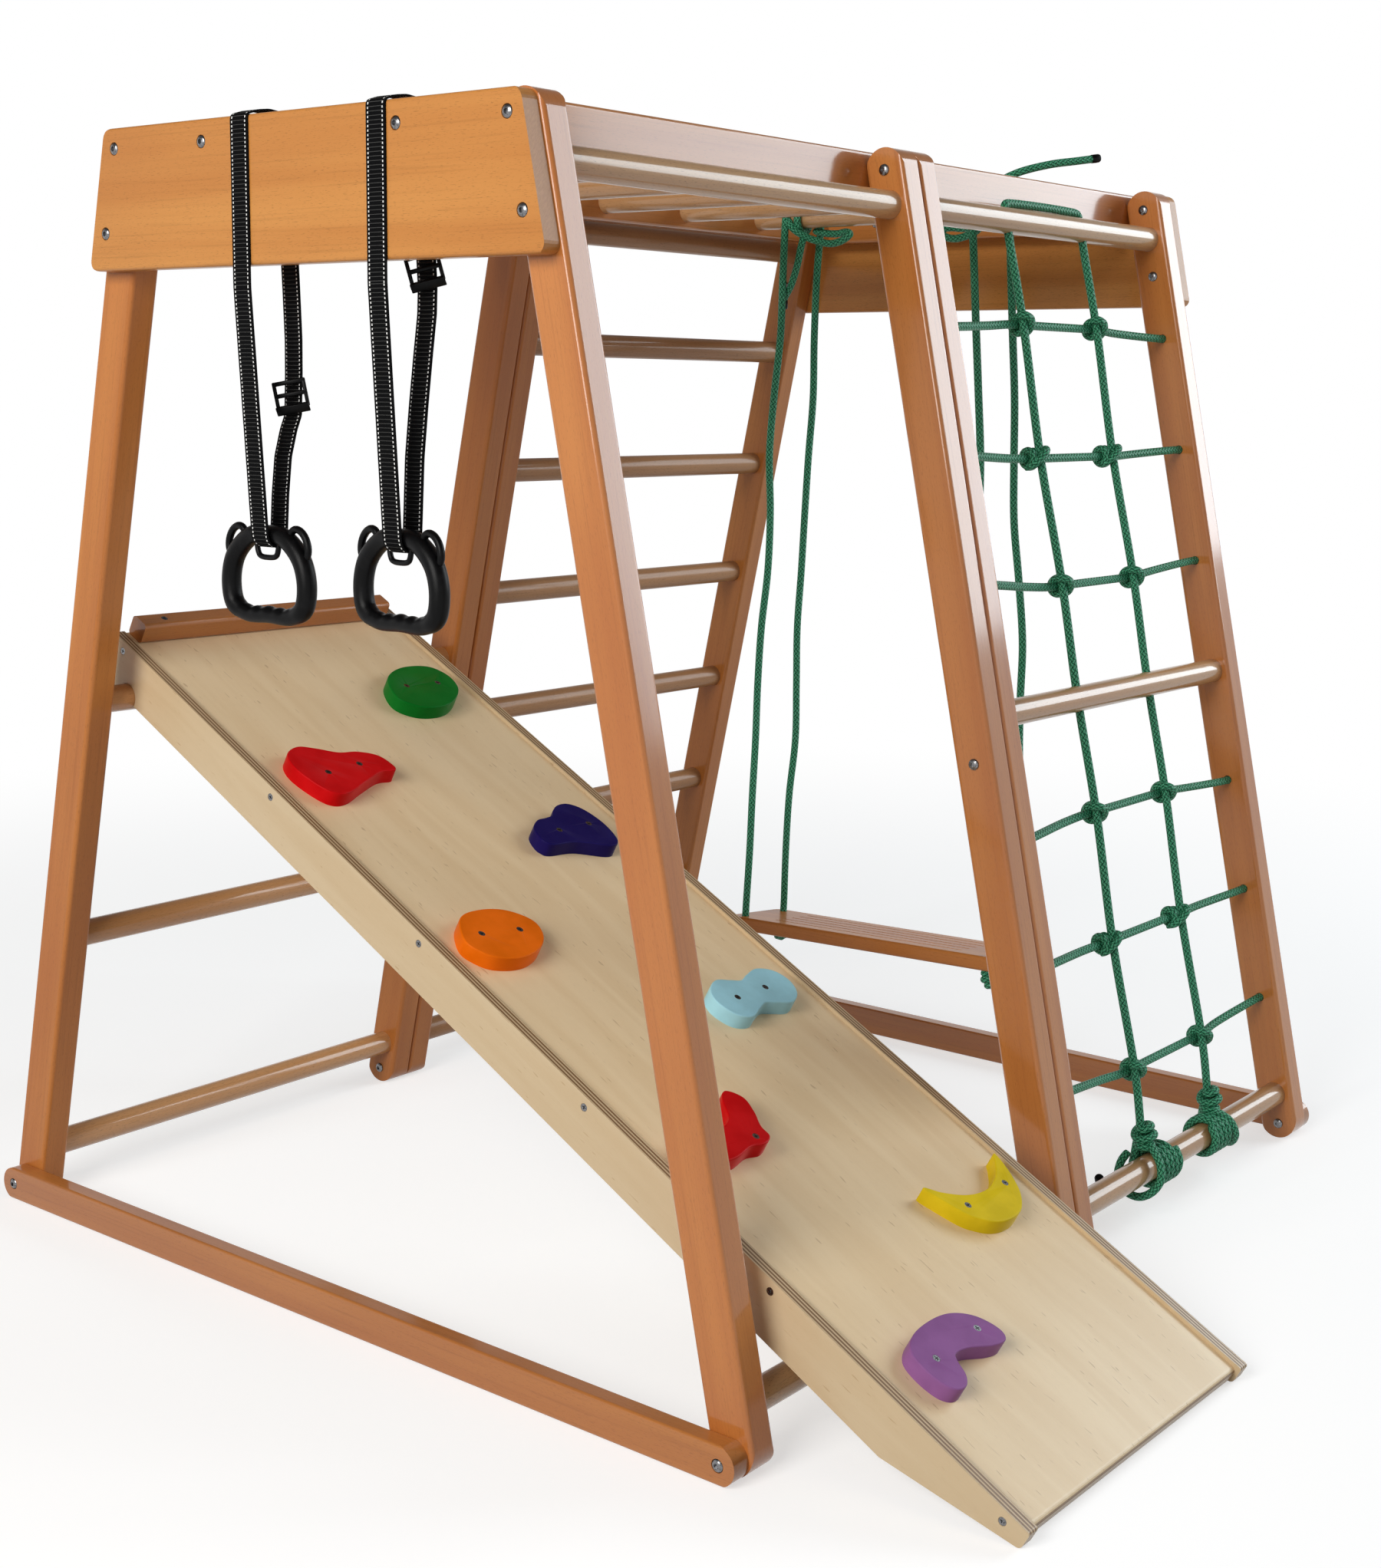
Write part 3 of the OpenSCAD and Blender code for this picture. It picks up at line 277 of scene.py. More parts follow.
def paint(name, colour):
    """Satin paint with a fine orange peel and faint clouds."""
    look = Look(name)
    place, _ = look.place()
    clouds = look.noise(place, scale=26.0, detail=3.0)
    peel = look.noise(place, scale=900.0)
    fine = look.noise(place, scale=3200.0, detail=1.0)
    lighter = tuple(min(1.0, c * 1.06 + 0.004) for c in colour)
    look.set(
        Base_Color=look.cover(shaded(colour, 0.9), lighter, clouds, 0.3, 0.7),
        Roughness=look.span(clouds, 0.28, 0.38),
        Specular_IOR_Level=0.05,
        Normal=look.bump(look.times_plus(fine, 0.5, peel), 0.1, 0.0003),
    )
    return look.made


def steel(name):
    """Zinc-plated steel with fine turning marks and a few dull spots."""
    look = Look(name)
    place, _ = look.place()
    fine = look.noise(place, scale=2600.0)
    spots = look.noise(place, scale=500.0)
    look.set(
        Base_Color=look.cover((0.24, 0.24, 0.25), (0.13, 0.13, 0.13), spots, 0.4, 0.7),
        Metallic=1.0,
        Roughness=look.span(fine, 0.16, 0.32),
        Normal=look.bump(fine, 0.08, 0.0002),
    )
    return look.made


def braid(name, strands=6.0, pitch=0.0072):
    """Braided rope: two families of strands that pass over and under, with painted shade in the gaps between them
    and light green painted highlights on their crowns, from a fibre noise that also bumps them.
    """
    look = Look(name)
    u, v = look.uv()
    around, along = look.times(u, strands), look.math("DIVIDE", v, pitch)
    a, b = look.math("ADD", around, along), look.minus(around, along)
    parity = look.math("FLOORED_MODULO", look.math("ADD", look.math("FLOOR", a), look.math("FLOOR", b)), 2.0)

    def crown(value):
        centred = look.times_plus(look.math("FRACT", value), 2.0, -1.0)
        return look.minus(1.0, look.times(centred, centred))

    strand = look.math("ADD", look.times(parity, crown(a)), look.times(look.minus(1.0, parity), crown(b)))
    fibres_and_glints = look.noise(look.vector(look.times(a, 4.0), look.times(b, 4.0), 0.0), scale=1.6)
    # Painted shade: the strands' colour darkens into the gaps between them and lightens on their crowns
    colour = look.cover((0.0008, 0.030, 0.014), (0.008, 0.25, 0.112), strand, 0.15, 0.85)
    # Painted highlight: light green glints from the fibre noise on the strands' crowns
    colour = look.cover(colour, (0.22, 0.66, 0.42), fibres_and_glints, 0.46, 0.62, look.steps(strand, 0.55, 0.95))
    look.set(
        Base_Color=colour,
        Roughness=0.5,
        Specular_IOR_Level=0.3,
        Normal=look.bump(look.times_plus(fibres_and_glints, 0.3, strand), 1.0, 0.0012),
    )
    return look.made


def webbing(name, rib_l=0.0021, pick_l=0.0042):
    """Black woven webbing: fine ribs, a dotted white thread along each edge and thin pale picks between them."""
    look = Look(name)
    across, along = look.uv()
    rib = look.math("FRACT", look.math("DIVIDE", along, rib_l))
    pick = look.math("FRACT", look.math("DIVIDE", along, pick_l))
    from_middle = look.abs(look.times_plus(across, 2.0, -1.0))
    row = look.below(look.abs(look.minus(from_middle, 0.74)), 0.055)
    thread = look.times(row, look.below(pick, 0.5))
    line = look.below(look.abs(look.minus(pick, 0.5)), 0.07)
    pale = look.times(look.times(look.below(from_middle, 0.7), line), 0.22)
    weave = look.noise(look.vector(look.times(across, 60.0), look.times(along, 900.0), 0.0))
    colour = look.cover((0.0015, 0.0015, 0.0018), (0.006, 0.006, 0.0065), weave, 0.3, 0.75)
    colour = look.mix(pale, colour, (0.32, 0.32, 0.31))
    colour = look.mix(thread, colour, (0.80, 0.80, 0.78))
    swell = look.math("SINE", look.times(rib, 2 * pi))
    height = look.times_plus(thread, 1.2, look.times_plus(weave, 0.5, swell))
    look.set(
        Base_Color=colour,
        Roughness=look.span(weave, 0.6, 0.8),
        Specular_IOR_Level=0.04,
        Normal=look.bump(height, 0.5, 0.0004),
    )
    return look.made


def moulded(name):
    """Black moulded plastic with a fine spark-eroded grain and faint scuffs."""
    look = Look(name)
    place, _ = look.place()
    grain = look.noise(place, scale=1400.0)
    scuffs = look.noise(place, scale=70.0, detail=4.0, distortion=1.0)
    look.set(
        Base_Color=look.cover((0.0015, 0.0015, 0.0018), (0.004, 0.004, 0.0045), scuffs, 0.45, 0.75),
        Roughness=look.span(scuffs, 0.3, 0.42),
        Specular_IOR_Level=0.12,
        Normal=look.bump(grain, 0.22, 0.0003),
    )
    return look.made


# Meshes


def mesh_object(name, verts, faces):
    """A mesh in the part's frame, linked to the scene."""
    mesh = bpy.data.meshes.new(name)
    mesh.from_pydata([tuple(v) for v in verts], [], faces)
    made = bpy.data.objects.new(name, mesh)
    scene.collection.objects.link(made)
    return made


def mesh_piece(name, verts, faces, material, body, replaced, slot, uvs=None, sharp=None):
    """A smooth mesh object that rides on a body, if one is named, in place of the replaced nodes."""
    made = mesh_object(name, verts, faces)
    mesh = made.data
    mesh.polygons.foreach_set("use_smooth", [True] * len(mesh.polygons))
    if uvs is not None:
        layer = mesh.uv_layers.new(name="UVMap")
        layer.data.foreach_set("uv", np.asarray(uvs, np.float32).ravel())
    if sharp is not None:
        mesh.set_sharp_from_angle(angle=radians(sharp))
    mesh.materials.append(material)
    mesh.update()
    if body:
        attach(made, body)
    if replaced:
        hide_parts(*replaced)
    return made


def joined(parts):
    """The vertices and faces of several meshes in one."""
    verts, faces = [], []
    for part in parts:
        first = len(verts)
        verts += list(part[0])
        faces += [tuple(first + k for k in face) for face in part[1]]
    return verts, faces


def between(a, b, low, high, s):
    """Value at s on the line from a, at low, to b, at high."""
    return (high - s) / (high - low) * a + (s - low) / (high - low) * b


def smooth_line(points, step, closed=False):
    """Points about step apart on a centripetal Catmull-Rom curve through the given ones."""
    p = np.asarray(points, float)
    if closed:
        p = np.vstack([p[-1:], p, p[:2]])
    else:
        p = np.vstack([2 * p[:1] - p[1:2], p, 2 * p[-1:] - p[-2:-1]])
    made = []
    for q in zip(p, p[1:], p[2:], p[3:]):
        t = [0.0]
        for a, b in zip(q, q[1:]):
            t.append(t[-1] + max(np.linalg.norm(b - a), 1e-9) ** 0.5)
        count = max(1, ceil(np.linalg.norm(q[2] - q[1]) / step))
        for i in range(count):
            s = t[1] + (t[2] - t[1]) * i / count
            pairs = [between(q[k], q[k + 1], t[k], t[k + 1], s) for k in range(3)]
            pairs = [between(pairs[k], pairs[k + 1], t[k], t[k + 2], s) for k in range(2)]
            made.append(between(*pairs, t[1], t[2], s))
    if not closed:
        made.append(p[-2])
    return np.array(made)


def headings(path, closed):
    """Unit direction of a path at each of its points."""
    after = np.roll(path, -1, 0) if closed else np.vstack([path[1:], path[-1:]])
    before = np.roll(path, 1, 0) if closed else np.vstack([path[:1], path[:-1]])
    along = after - before
    return along / np.linalg.norm(along, axis=1)[:, None]


def lengths_along(path, closed=False):
    """Distance of each point from the first one along a path, and back to it where the path is closed."""
    whole = np.vstack([path, path[:1]]) if closed else path
    return np.concatenate([[0.0], np.cumsum(np.linalg.norm(np.diff(whole, axis=0), axis=1))])


def softened(values):
    """Each value of a loop, averaged with its neighbours."""
    return values * 0.5 + (np.roll(values, 1, 0) + np.roll(values, -1, 0)) * 0.25


def ring_faces(n, m, closed=False):
    """Faces over n rings of m points, with a cap at each end if the rings don't close."""
    faces = []
    for i, j in product(range(n if closed else n - 1), range(m)):
        here, there, k = i * m, (i + 1) % n * m, (j + 1) % m
        faces.append((here + j, here + k, there + k, there + j))
    if not closed:
        faces += [tuple(range(m - 1, -1, -1)), tuple(range((n - 1) * m, n * m))]
    return faces


def ring_uvs(us, lengths):
    """UVs of the faces between rings: U from a list and V along the path, in metres."""
    made = []
    for (low, high), (a, b) in product(zip(lengths, lengths[1:]), zip(us, us[1:])):
        made += [(a, low), (b, low), (b, high), (a, high)]
    return made


def tube(path, radius, sides, closed=False, shape=None):
    """Vertices, faces and UVs of a tube. Shape scales the radius by ring and angle."""
    path = np.asarray(path, float)
    n = len(path)
    heading = headings(path, closed)
    guess = np.eye(3)[np.argmin(np.abs(heading[0]))]
    side = np.zeros_like(heading)
    for i in range(n):
        guess = guess - heading[i] * (guess @ heading[i])
        guess = guess / np.linalg.norm(guess)
        side[i] = guess
    angle = np.arange(sides) * 2 * pi / sides
    up = np.cross(heading, side)
    ring = side[:, None] * np.cos(angle)[None, :, None] + up[:, None] * np.sin(angle)[None, :, None]
    scale = np.ones((n, sides)) if shape is None else shape(ring)
    radius = np.broadcast_to(np.asarray(radius, float), n)
    verts = path[:, None] + ring * (radius[:, None] * scale)[:, :, None]
    lengths = lengths_along(path, closed)
    uvs = ring_uvs([j / sides for j in range(sides + 1)], lengths)
    if not closed:
        uvs += [(0.5 + 0.1 * cos(a), v) for v in (0.0, lengths[-1]) for a in angle]
    return verts.reshape(-1, 3), ring_faces(n, sides, closed), uvs


def rope(name, points, body, replaced=(), radius=ROPE_R, step=0.003):
    """One length of rope through the points; its ends are slightly drawn in."""
    path = smooth_line(points, step)
    radii = np.full(len(path), radius)
    radii[[0, -1]] *= 0.72
    radii[[1, -2]] *= 0.95
    verts, faces, uvs = tube(path, radii, 12)
    return mesh_piece(name, verts, faces, GREEN, body, replaced, "rope", uvs), path


# Materials of the solids

BOARD = {"light": (0.69, 0.3, 0.074), "dark": (0.59, 0.228, 0.05), "red": (0.54, 0.195, 0.042)}
BEECH = {"light": (0.56, 0.205, 0.045), "dark": (0.44, 0.14, 0.028), "red": (0.4, 0.115, 0.022)}
HONEY = {"light": (0.74, 0.385, 0.165), "dark": (0.58, 0.275, 0.1), "red": (0.52, 0.225, 0.075)}
RUSSET = {"light": (0.5, 0.255, 0.115), "dark": (0.38, 0.175, 0.07), "red": (0.35, 0.15, 0.055)}
PALE = {"light": (0.6, 0.345, 0.165), "dark": (0.46, 0.235, 0.095), "red": (0.44, 0.2, 0.075), "flecks": 0.55}
LONG, DEEP = (1, 0, 0), (0, 1, 0)
beech_front = wood("beech_front_legs", (0, sin(LEAN_A), cos(LEAN_A)), **BEECH)
beech_back = wood("beech_back_legs", (0, -sin(LEAN_A), cos(LEAN_A)), **BEECH, coat=0.4)
beech_across = wood("beech_across", DEEP, **BEECH)
beech_board = wood("beech_board", DEEP, **BOARD, coat=0.3, flecks=0.46, contrast=0.85)
beech_long = wood("beech_long", LONG, **BEECH)
seat_wood = wood("beech_seat", DEEP, **BEECH, coat=0.25)
dowel_long = wood("dowel_long", LONG, **PALE, contrast=1.0)
dowel_across = wood("dowel_across", DEEP, **PALE, contrast=1.0)
dowel_honey = wood("dowel_honey", LONG, **HONEY, flecks=0.5, contrast=1.0)
dowel_russet = wood("dowel_russet", LONG, **RUSSET, coat=0.25, flecks=0.5, contrast=1.0)
ply_panel = plywood("birch_panel", OUT, -0.019, 1.22)
ply_rail_left = plywood("birch_rail_left", ACROSS, -0.2195, 0.94)
ply_rail_right = plywood("birch_rail_right", ACROSS, 0.2045, 0.94)
STEEL = steel("zinc_steel")
GREEN = braid("green_rope")
WEB = webbing("black_webbing")
BLACK = moulded("black_plastic")

LEGS = ("left", "mid_left", "mid_right", "right")
looks = {
    beech_front: [f"leg_front_{leg}" for leg in LEGS],
    beech_back: [f"leg_back_{leg}" for leg in LEGS],
    beech_board: ["end_board_left", "end_board_right"],
    beech_across: ["floor_rail_left", "floor_rail_right", "top_cross_left", "top_cross_right"],
    beech_long: ["top_beam_front", "top_beam_back", "slide_cleat"],
    seat_wood: ["swing_seat"],
    dowel_across: ["monkey_bars", "swing_bar"],
    dowel_long: ["front_left_dowels", "net_dowel_top", "net_dowel_mid", "net_dowel_low"],
    dowel_honey: ["back_left_rungs", "board_rung"],
    dowel_russet: ["ladder_rungs"],
    ply_panel: ["slide_panel"],
    ply_rail_left: ["slide_rail_left"],
    ply_rail_right: ["slide_rail_right"],
    STEEL: ["end_bolts", "end_nuts", "centre_bolts", "centre_nuts", "beam_screws", "hold_screws", "slide_screws"],
}
for material, names in looks.items():
    for name in names:
        nodes[name].data.materials.clear()
        nodes[name].data.materials.append(material)

# Rope net


def on_net(x, up, out):
    """Point of the net panel: along the frame, up the slope from the bottom dowel, out of the panel."""
    y = -LOW_Y + up * sin(LEAN_A) - out * cos(LEAN_A)
    return Vector((x, y + Y_MID, LOW_Z + up * cos(LEAN_A) + out * sin(LEAN_A)))


def net_up(z):
    """Distance up the net's slope at a height."""
    return (z - LOW_Z) / cos(LEAN_A)


KNOT_ROPE_R, TIE_ROPE_R, TAIL_ROPE_R = 0.0048, 0.0051, 0.0050  # rope that is drawn tight
NET_TURNS, WIND_PITCH, WIND_STEPS = 3.5, ROPE_D + 0.0014, 24
WIND_END = (0.016, WIND_R - 0.004)  # up and out, where the wraps begin
WIND_LEAVE = ((0.75 * WIND_R, -0.72 * WIND_R), (0.032, -0.010), (0.048, -0.003), (0.075, 0.0))  # and where they end
BEND_R = 0.008  # an upright's turn over the top dowel
OVER_TOP = net_up(TOP_Z) + WIND_R
BEHIND = -ROPE_D - ROPE_GAP
KNOT_SIDE = (1, -1, 1, 1, -1, 1)
KNOT_RISE = (0.010, -0.004, -0.011, 0.008, -0.002, -0.014)
KNOT_SHIFT = 0.0035
STRAIGHT = ((MID_Z, -0.025), (MID_Z, 0.025), (TOP_Z, -0.022))  # where an upright runs straight into a dowel
CROSS_END, CROSS_OUT, CROSS_BEND = 0.024, 0.012, 0.060
net_rows = []
for i in (3, 2, 1, -1, -2, -3):
    net_rows.append(net_up(MID_Z + i * NET_SHARE * (TOP_Z - MID_Z if i > 0 else MID_Z - LOW_Z)))


def net_upright(x, side):
    """From the tail, round the bottom dowel and up to the top dowel."""
    made = [on_net(x + side * WIND_PITCH * NET_TURNS, *WIND_END)]
    for i in range(int(NET_TURNS * WIND_STEPS) + 1):
        turn = NET_TURNS - i / WIND_STEPS
        a = radians(90 + 360 * turn)
        made.append(on_net(x + side * WIND_PITCH * turn, WIND_R * cos(a), -WIND_R * sin(a)))
    made += [on_net(x, *spot) for spot in WIND_LEAVE]
    stops = [(up + rise, KNOT_SHIFT * hand) for up, rise, hand in zip(net_rows, KNOT_RISE, KNOT_SIDE)]
    stops += [(net_up(z) + d, 0.0) for z, d in STRAIGHT]
    made += [on_net(x + shift, up, 0) for up, shift in sorted(stops)]
    for a in (0, 30, 60, 90):
        c, s = cos(radians(a)), sin(radians(a))
        made.append(on_net(x + side * BEND_R * (1 - c), OVER_TOP - BEND_R * (1 - s), 0))
    return made


net_points = net_upright(NET_X[0], 1) + net_upright(NET_X[1], -1)[::-1]
upright, upright_path = rope("net_uprights", net_points, "frame", ["net_upright_rope"])

# The tape at a rope's end: distance past the end, and radius
TAPE = ((-0.012, 0.005), (-0.0115, 0.0056), (-0.006, 0.0057), (-0.0005, 0.0056), (0.0012, 0.0046), (0.0014, 0.003))


def taped_end(name, before, end, body):
    """Black tape round the last centimetre of a rope."""
    along = (end - before).normalized()
    verts, faces, _ = tube([end + along * t for t, _ in TAPE], [r for _, r in TAPE], 14)
    return mesh_piece(name, verts, faces, BLACK, body, (), "black_plastic", sharp=50)


KNOT_STEPS, KNOT_R, KNOT_L, KNOT_LEAN = 28, 0.0098, 0.0140, 0.0015
KNOT_OVER = (
    (0.015, -0.009, -0.0035), (0.011, -0.004, 0.0045), (0.0035, 0.003, 0.0095), (-0.005, 0.008, 0.007),
    (-0.0095, 0.009, -0.0015),
)


def knot_points(x, up, hand, turn):
    """Wraps round a cross rope beside an upright, then once over the upright's front, where the end tucks in."""
    made = []
    for i in range(KNOT_STEPS + 1):
        t = i / KNOT_STEPS
        a = radians(150 - 600 * t)
        reach = KNOT_R * min(1.0, 0.45 + 4 * t)
        along = KNOT_LEAN + KNOT_L * t + KNOT_LEAN * cos(a)
        tilted = a + 0.2 * turn
        made.append(on_net(x + hand * along, up + reach * sin(tilted), BEHIND + reach * cos(tilted)))
    return made + [on_net(x + hand * a, up + b, c) for a, b, c in KNOT_OVER]


# A cross rope: place along the frame, share of its row's rise, and out of the panel
cross_stops = [(BAY_X[0] - CROSS_END, 0, 0), (BAY_X[0] + CROSS_OUT, 0, 0), (NET_X[0] - CROSS_BEND, 0.7, BEHIND)]
cross_stops += [(NET_X[0] + t, 1, BEHIND) for t in (-0.01, 0.03, 0.09)]
cross_stops += [(NET_X[1] + t, 1, BEHIND) for t in (-0.06, -0.01, 0.03)]
cross_stops += [(NET_X[1] + CROSS_BEND, 0.7, BEHIND), (BAY_X[1] - CROSS_OUT, 0, 0), (BAY_X[1] + CROSS_END, 0, 0)]
cross_pieces = []
for row, (up, rise, hand) in enumerate(zip(net_rows, KNOT_RISE, KNOT_SIDE)):
    points = [on_net(x, up + share * rise, out) for x, share, out in cross_stops]
    piece, path = rope(f"net_cross_{row + 1}", points, "frame", ["net_cross_ropes"])
    knots = []
    for column, x in enumerate(NET_X):
        points = knot_points(x + KNOT_SHIFT * hand, up + rise, hand, sin(5.3 * row + 2.9 * column))
        name = f"net_knot_{row + 1}_{column + 1}"
        knots.append(rope(name, points, "frame", radius=KNOT_ROPE_R, step=0.002)[0])
    cross_pieces.append((piece, path, knots))

# The tie at the foot of each upright: a hitch over the dowel, and a loose bight beside the wraps
HITCH_STEPS, HITCH_TURNS, HITCH_R = 40, 2.3, 0.0112
HITCH_UP, HITCH_L, HITCH_LEAN, HITCH_OUT = 0.0285, 0.023, 0.004, 0.006
BIGHT = (
    (-0.004, 0.028, 0.008), (0.004, 0.021, 0.015), (0.01, 0.008, 0.0235), (0.015, -0.009, 0.0235),
    (0.021, -0.021, 0.013), (0.027, -0.0245, 0.0), (0.03, -0.019, -0.013), (0.028, -0.005, -0.0225),
    (0.02, 0.011, -0.0205), (0.01, 0.021, -0.014),
)
BIGHT_FITS = ((-0.005, (-1.0, 1.14, 1.1)), (-0.010, (1.4, 1.0, 1.0)))  # shift along the frame, and stretch
TAIL = (
    (0.0, -0.012, -0.0245), (-0.03, -0.012, -0.026), (-0.062, -0.01, -0.0255), (-0.082, -0.002, -0.022),
    (-0.089, 0.012, -0.018),
)
tie_pieces = []
for column, (x, side, (shift, fit)) in enumerate(zip(NET_X, (1, -1), BIGHT_FITS), 1):
    hitch = []
    for i in range(HITCH_STEPS + 1):
        t = i / HITCH_STEPS
        a = 2 * pi * (HITCH_TURNS * t + 0.2)
        reach = HITCH_R * min(1.0, 0.3 + 5 * t, 0.3 + 5 * (1 - t))
        up = HITCH_UP + HITCH_L * t + HITCH_LEAN * cos(a)
        out = HITCH_OUT * (1 - t) + reach * sin(a) - 0.002
        hitch.append(on_net(x + side * 0.002 + reach * cos(a), up, out))
    tie_pieces.append(rope(f"net_tie_{column}", hitch, "frame", radius=TIE_ROPE_R, step=0.002)[0])
    points = [on_net(x + shift + fit[0] * a, fit[1] * b, fit[2] * c) for a, b, c in BIGHT]
    tie_pieces.append(rope(f"net_bight_{column}", points, "frame", radius=TIE_ROPE_R)[0])
points = [on_net(NET_X[0] + a, b, c) for a, b, c in TAIL]
tie_pieces.append(rope("net_tail", points, "frame", radius=TAIL_ROPE_R)[0])
tie_pieces.append(taped_end("net_tail_tape", *points[-2:], "frame"))

# Swing

SEAT_Z, SEAT_Y, TILT, PITCH = 0.230, -0.010, radians(5.9), radians(1.7)
HOLE_X, HOLE_Y = 0.048, 0.230 - 0.019  # the seat's rope holes, from its middle
HOLE_UPS = (-0.043, -0.032, -0.018, 0.0, 0.014)
BAR_Y, BAR_TURNS, BAR_PITCH = 0.154, 1.5, 0.020  # the ropes' turns round the bar
HANG_STEPS, SWAY = 12, 0.0032
# The hitch beside those turns: along the frame, along the bar, and up
BOW = (
    (-0.0222, -0.012, -0.004), (-0.0212, -0.003, -0.017), (-0.012, 0.01, -0.0275), (-0.006, 0.03, -0.035),
    (-0.005, 0.052, -0.039), (-0.003, 0.07, -0.035), (0.002, 0.079, -0.027), (0.008, 0.07, -0.023),
    (0.011, 0.05, -0.0245), (0.011, 0.03, -0.023), (0.013, 0.01, -0.019),
)
BACK_TAIL = (
    (-0.008, 0.008, -0.024), (-0.014, 0.007, -0.042), (-0.017, 0.003, -0.068), (-0.015, -0.009, -0.096),
    (-0.011, -0.024, -0.116), (-0.008, -0.026, -0.127),
)
FRONT_TAIL = (
    (-0.004, 0.001, 0.0222), (-0.003, -0.012, 0.032), (0.008, -0.034, 0.044), (0.042, -0.062, 0.056),
    (0.076, -0.086, 0.0625), (0.103, -0.102, 0.0675),
)


def seat_hole(h, s, up):
    """Point on the axis of a seat hole, at a height over the seat's top."""
    x, y = h * HOLE_X, s * HOLE_Y
    y1 = y * cos(PITCH) + up * sin(PITCH)
    z1 = -y * sin(PITCH) + up * cos(PITCH)
    return Vector((
        SWING_X + x * cos(TILT) + z1 * sin(TILT),
        SEAT_Y + y1 + Y_MID,
        SEAT_Z - x * sin(TILT) + z1 * cos(TILT),
    ))


def hanging(a, b, phase):
    """The run between seat and bar, which isn't quite straight."""
    made = []
    for i in range(1, HANG_STEPS):
        sway = SWAY * min(1.0, i / 3, (HANG_STEPS - i) / 3)
        aside = Vector((sway * sin(1.9 * i + phase), sway * sin(1.3 * i + 2 * phase), 0))
        made.append(a.lerp(b, i / HANG_STEPS) + aside)
    return made


def swing_points(s):
    """From under the seat, up, round the bar and down again."""
    first = [seat_hole(-1, s, up) for up in HOLE_UPS]
    last = [seat_hole(1, s, up) for up in reversed(HOLE_UPS)]
    ring = []
    for i in range(int(BAR_TURNS * WIND_STEPS) + 1):
        turn = i / WIND_STEPS
        a = radians(180 - 360 * turn)
        y = s * BAR_Y + BAR_PITCH * (BAR_TURNS / 2 - turn) + Y_MID
        ring.append(Vector((SWING_X + WIND_R * cos(a), y, BAR_Z + WIND_R * sin(a))))
    return first + hanging(first[-1], ring[0], 0.6 + s) + ring + hanging(ring[-1], last[0], 2.1 + s) + last


def seat_knot(h, s, turns=2.2, pitch=0.0088, radius=0.0072, tuck=0.3):
    """Wraps under a seat hole: a short helix whose ends tuck into its middle."""
    low, high = seat_hole(h, s, -0.040), seat_hole(h, s, -0.020)
    middle, axis = low.lerp(high, 0.42), (high - low).normalized()
    start = Vector((h, 0.4, 0))
    start = (start - axis * start.dot(axis)).normalized()
    other = axis.cross(start)
    count = int(turns * 16)
    made = []
    for i in range(count + 1):
        t = i / count
        reach = min(1.0, t * turns / tuck, (1 - t) * turns / tuck)
        r = radius * (0.25 + 0.75 * sin(reach * pi / 2))
        a = 2 * pi * turns * t
        made.append(middle + axis * (t - 0.5) * pitch * turns + (start * cos(a) + other * sin(a)) * r)
    return made


def by_bar(line, s):
    """Points of a hitch in the part's frame."""
    return [Vector((SWING_X + x, s * BAR_Y + Y_MID - s * along, BAR_Z + z)) for x, along, z in line]


# The front tail lies on the frame, so it stays there when the swing moves
swing_pieces = []
for s, label, tail_line, carrier in ((1, "back", BACK_TAIL, "swing"), (-1, "front", FRONT_TAIL, "frame")):
    piece, path = rope(f"swing_rope_{label}_line", swing_points(s), "swing", [f"swing_rope_{label}"])
    tail = by_bar(tail_line, s)
    knots = [
        rope(f"swing_bow_{label}", by_bar(BOW, s), "swing", radius=TIE_ROPE_R)[0],
        rope(f"swing_tail_{label}", tail, carrier, radius=TIE_ROPE_R)[0],
        taped_end(f"swing_tape_{label}", *tail[-2:], carrier),
    ]
    for h, hand in ((-1, "left"), (1, "right")):
        knots.append(rope(f"swing_knot_{label}_{hand}", seat_knot(h, s), "swing", step=0.002)[0])
    swing_pieces.append((piece, path, knots))

# Ring straps

WEB_W, WEB_T, WEB_GAP = 0.0272, 0.002, 0.0013  # the gap is from the board's faces to the webbing's middle
END_X, FOLD_R = -0.629, 0.004
OUT_X, IN_X, TOP_FACE = END_X - 0.022 - WEB_GAP, END_X + 0.035 + WEB_GAP, 1.272 + WEB_GAP
IN_LOW_Z, IN_LEAN_Z = 1.222, 1.250  # the inner run is upright down to the first, and aimed from the second
RING_TUBE_R, RING_ROOM, TURN_ROOM = 0.0105, 0.0014, 0.16 / 1000  # the last is for each degree of a ring's turn
SLING_R = [RING_TUBE_R + RING_ROOM + TURN_ROOM * abs(degrees(t)) + WEB_T / 2 for t in RING_TURN]
SLING_IN_X = IN_X + (RING_X + SLING_R[0] - IN_X) * (IN_LEAN_Z - BEND_Z) / (IN_LEAN_Z - RING_Z)
HUMP = ((0.25, 0.0035), (0.5, 0.0055), (0.75, 0.0040))  # share of the way over the board, and rise
# Share of the way from the ring to the bend, and the webbing's bow there, in millimetres
BOWS = (
    ((0.16, 1), (0.32, 4), (0.43, 11), (0.49, 17), (0.66, 17), (0.8, 16), (0.95, 13), (1, 12)),
    ((0.32, 1), (0.53, 5), (0.74, 10), (0.89, 14), (1, 14)),
)


def sling_run(i, share, bow):
    start = RING_X + SLING_R[i]
    z = RING_Z + RING_UP[i]
    return start + (SLING_IN_X - start) * share + bow / 1000, z + (BEND_Z - z) * share


def arc(x, z, r, first, last):
    return [(x + r * cos(radians(a)), z + r * sin(radians(a))) for a in range(first, last - 1, -15)]


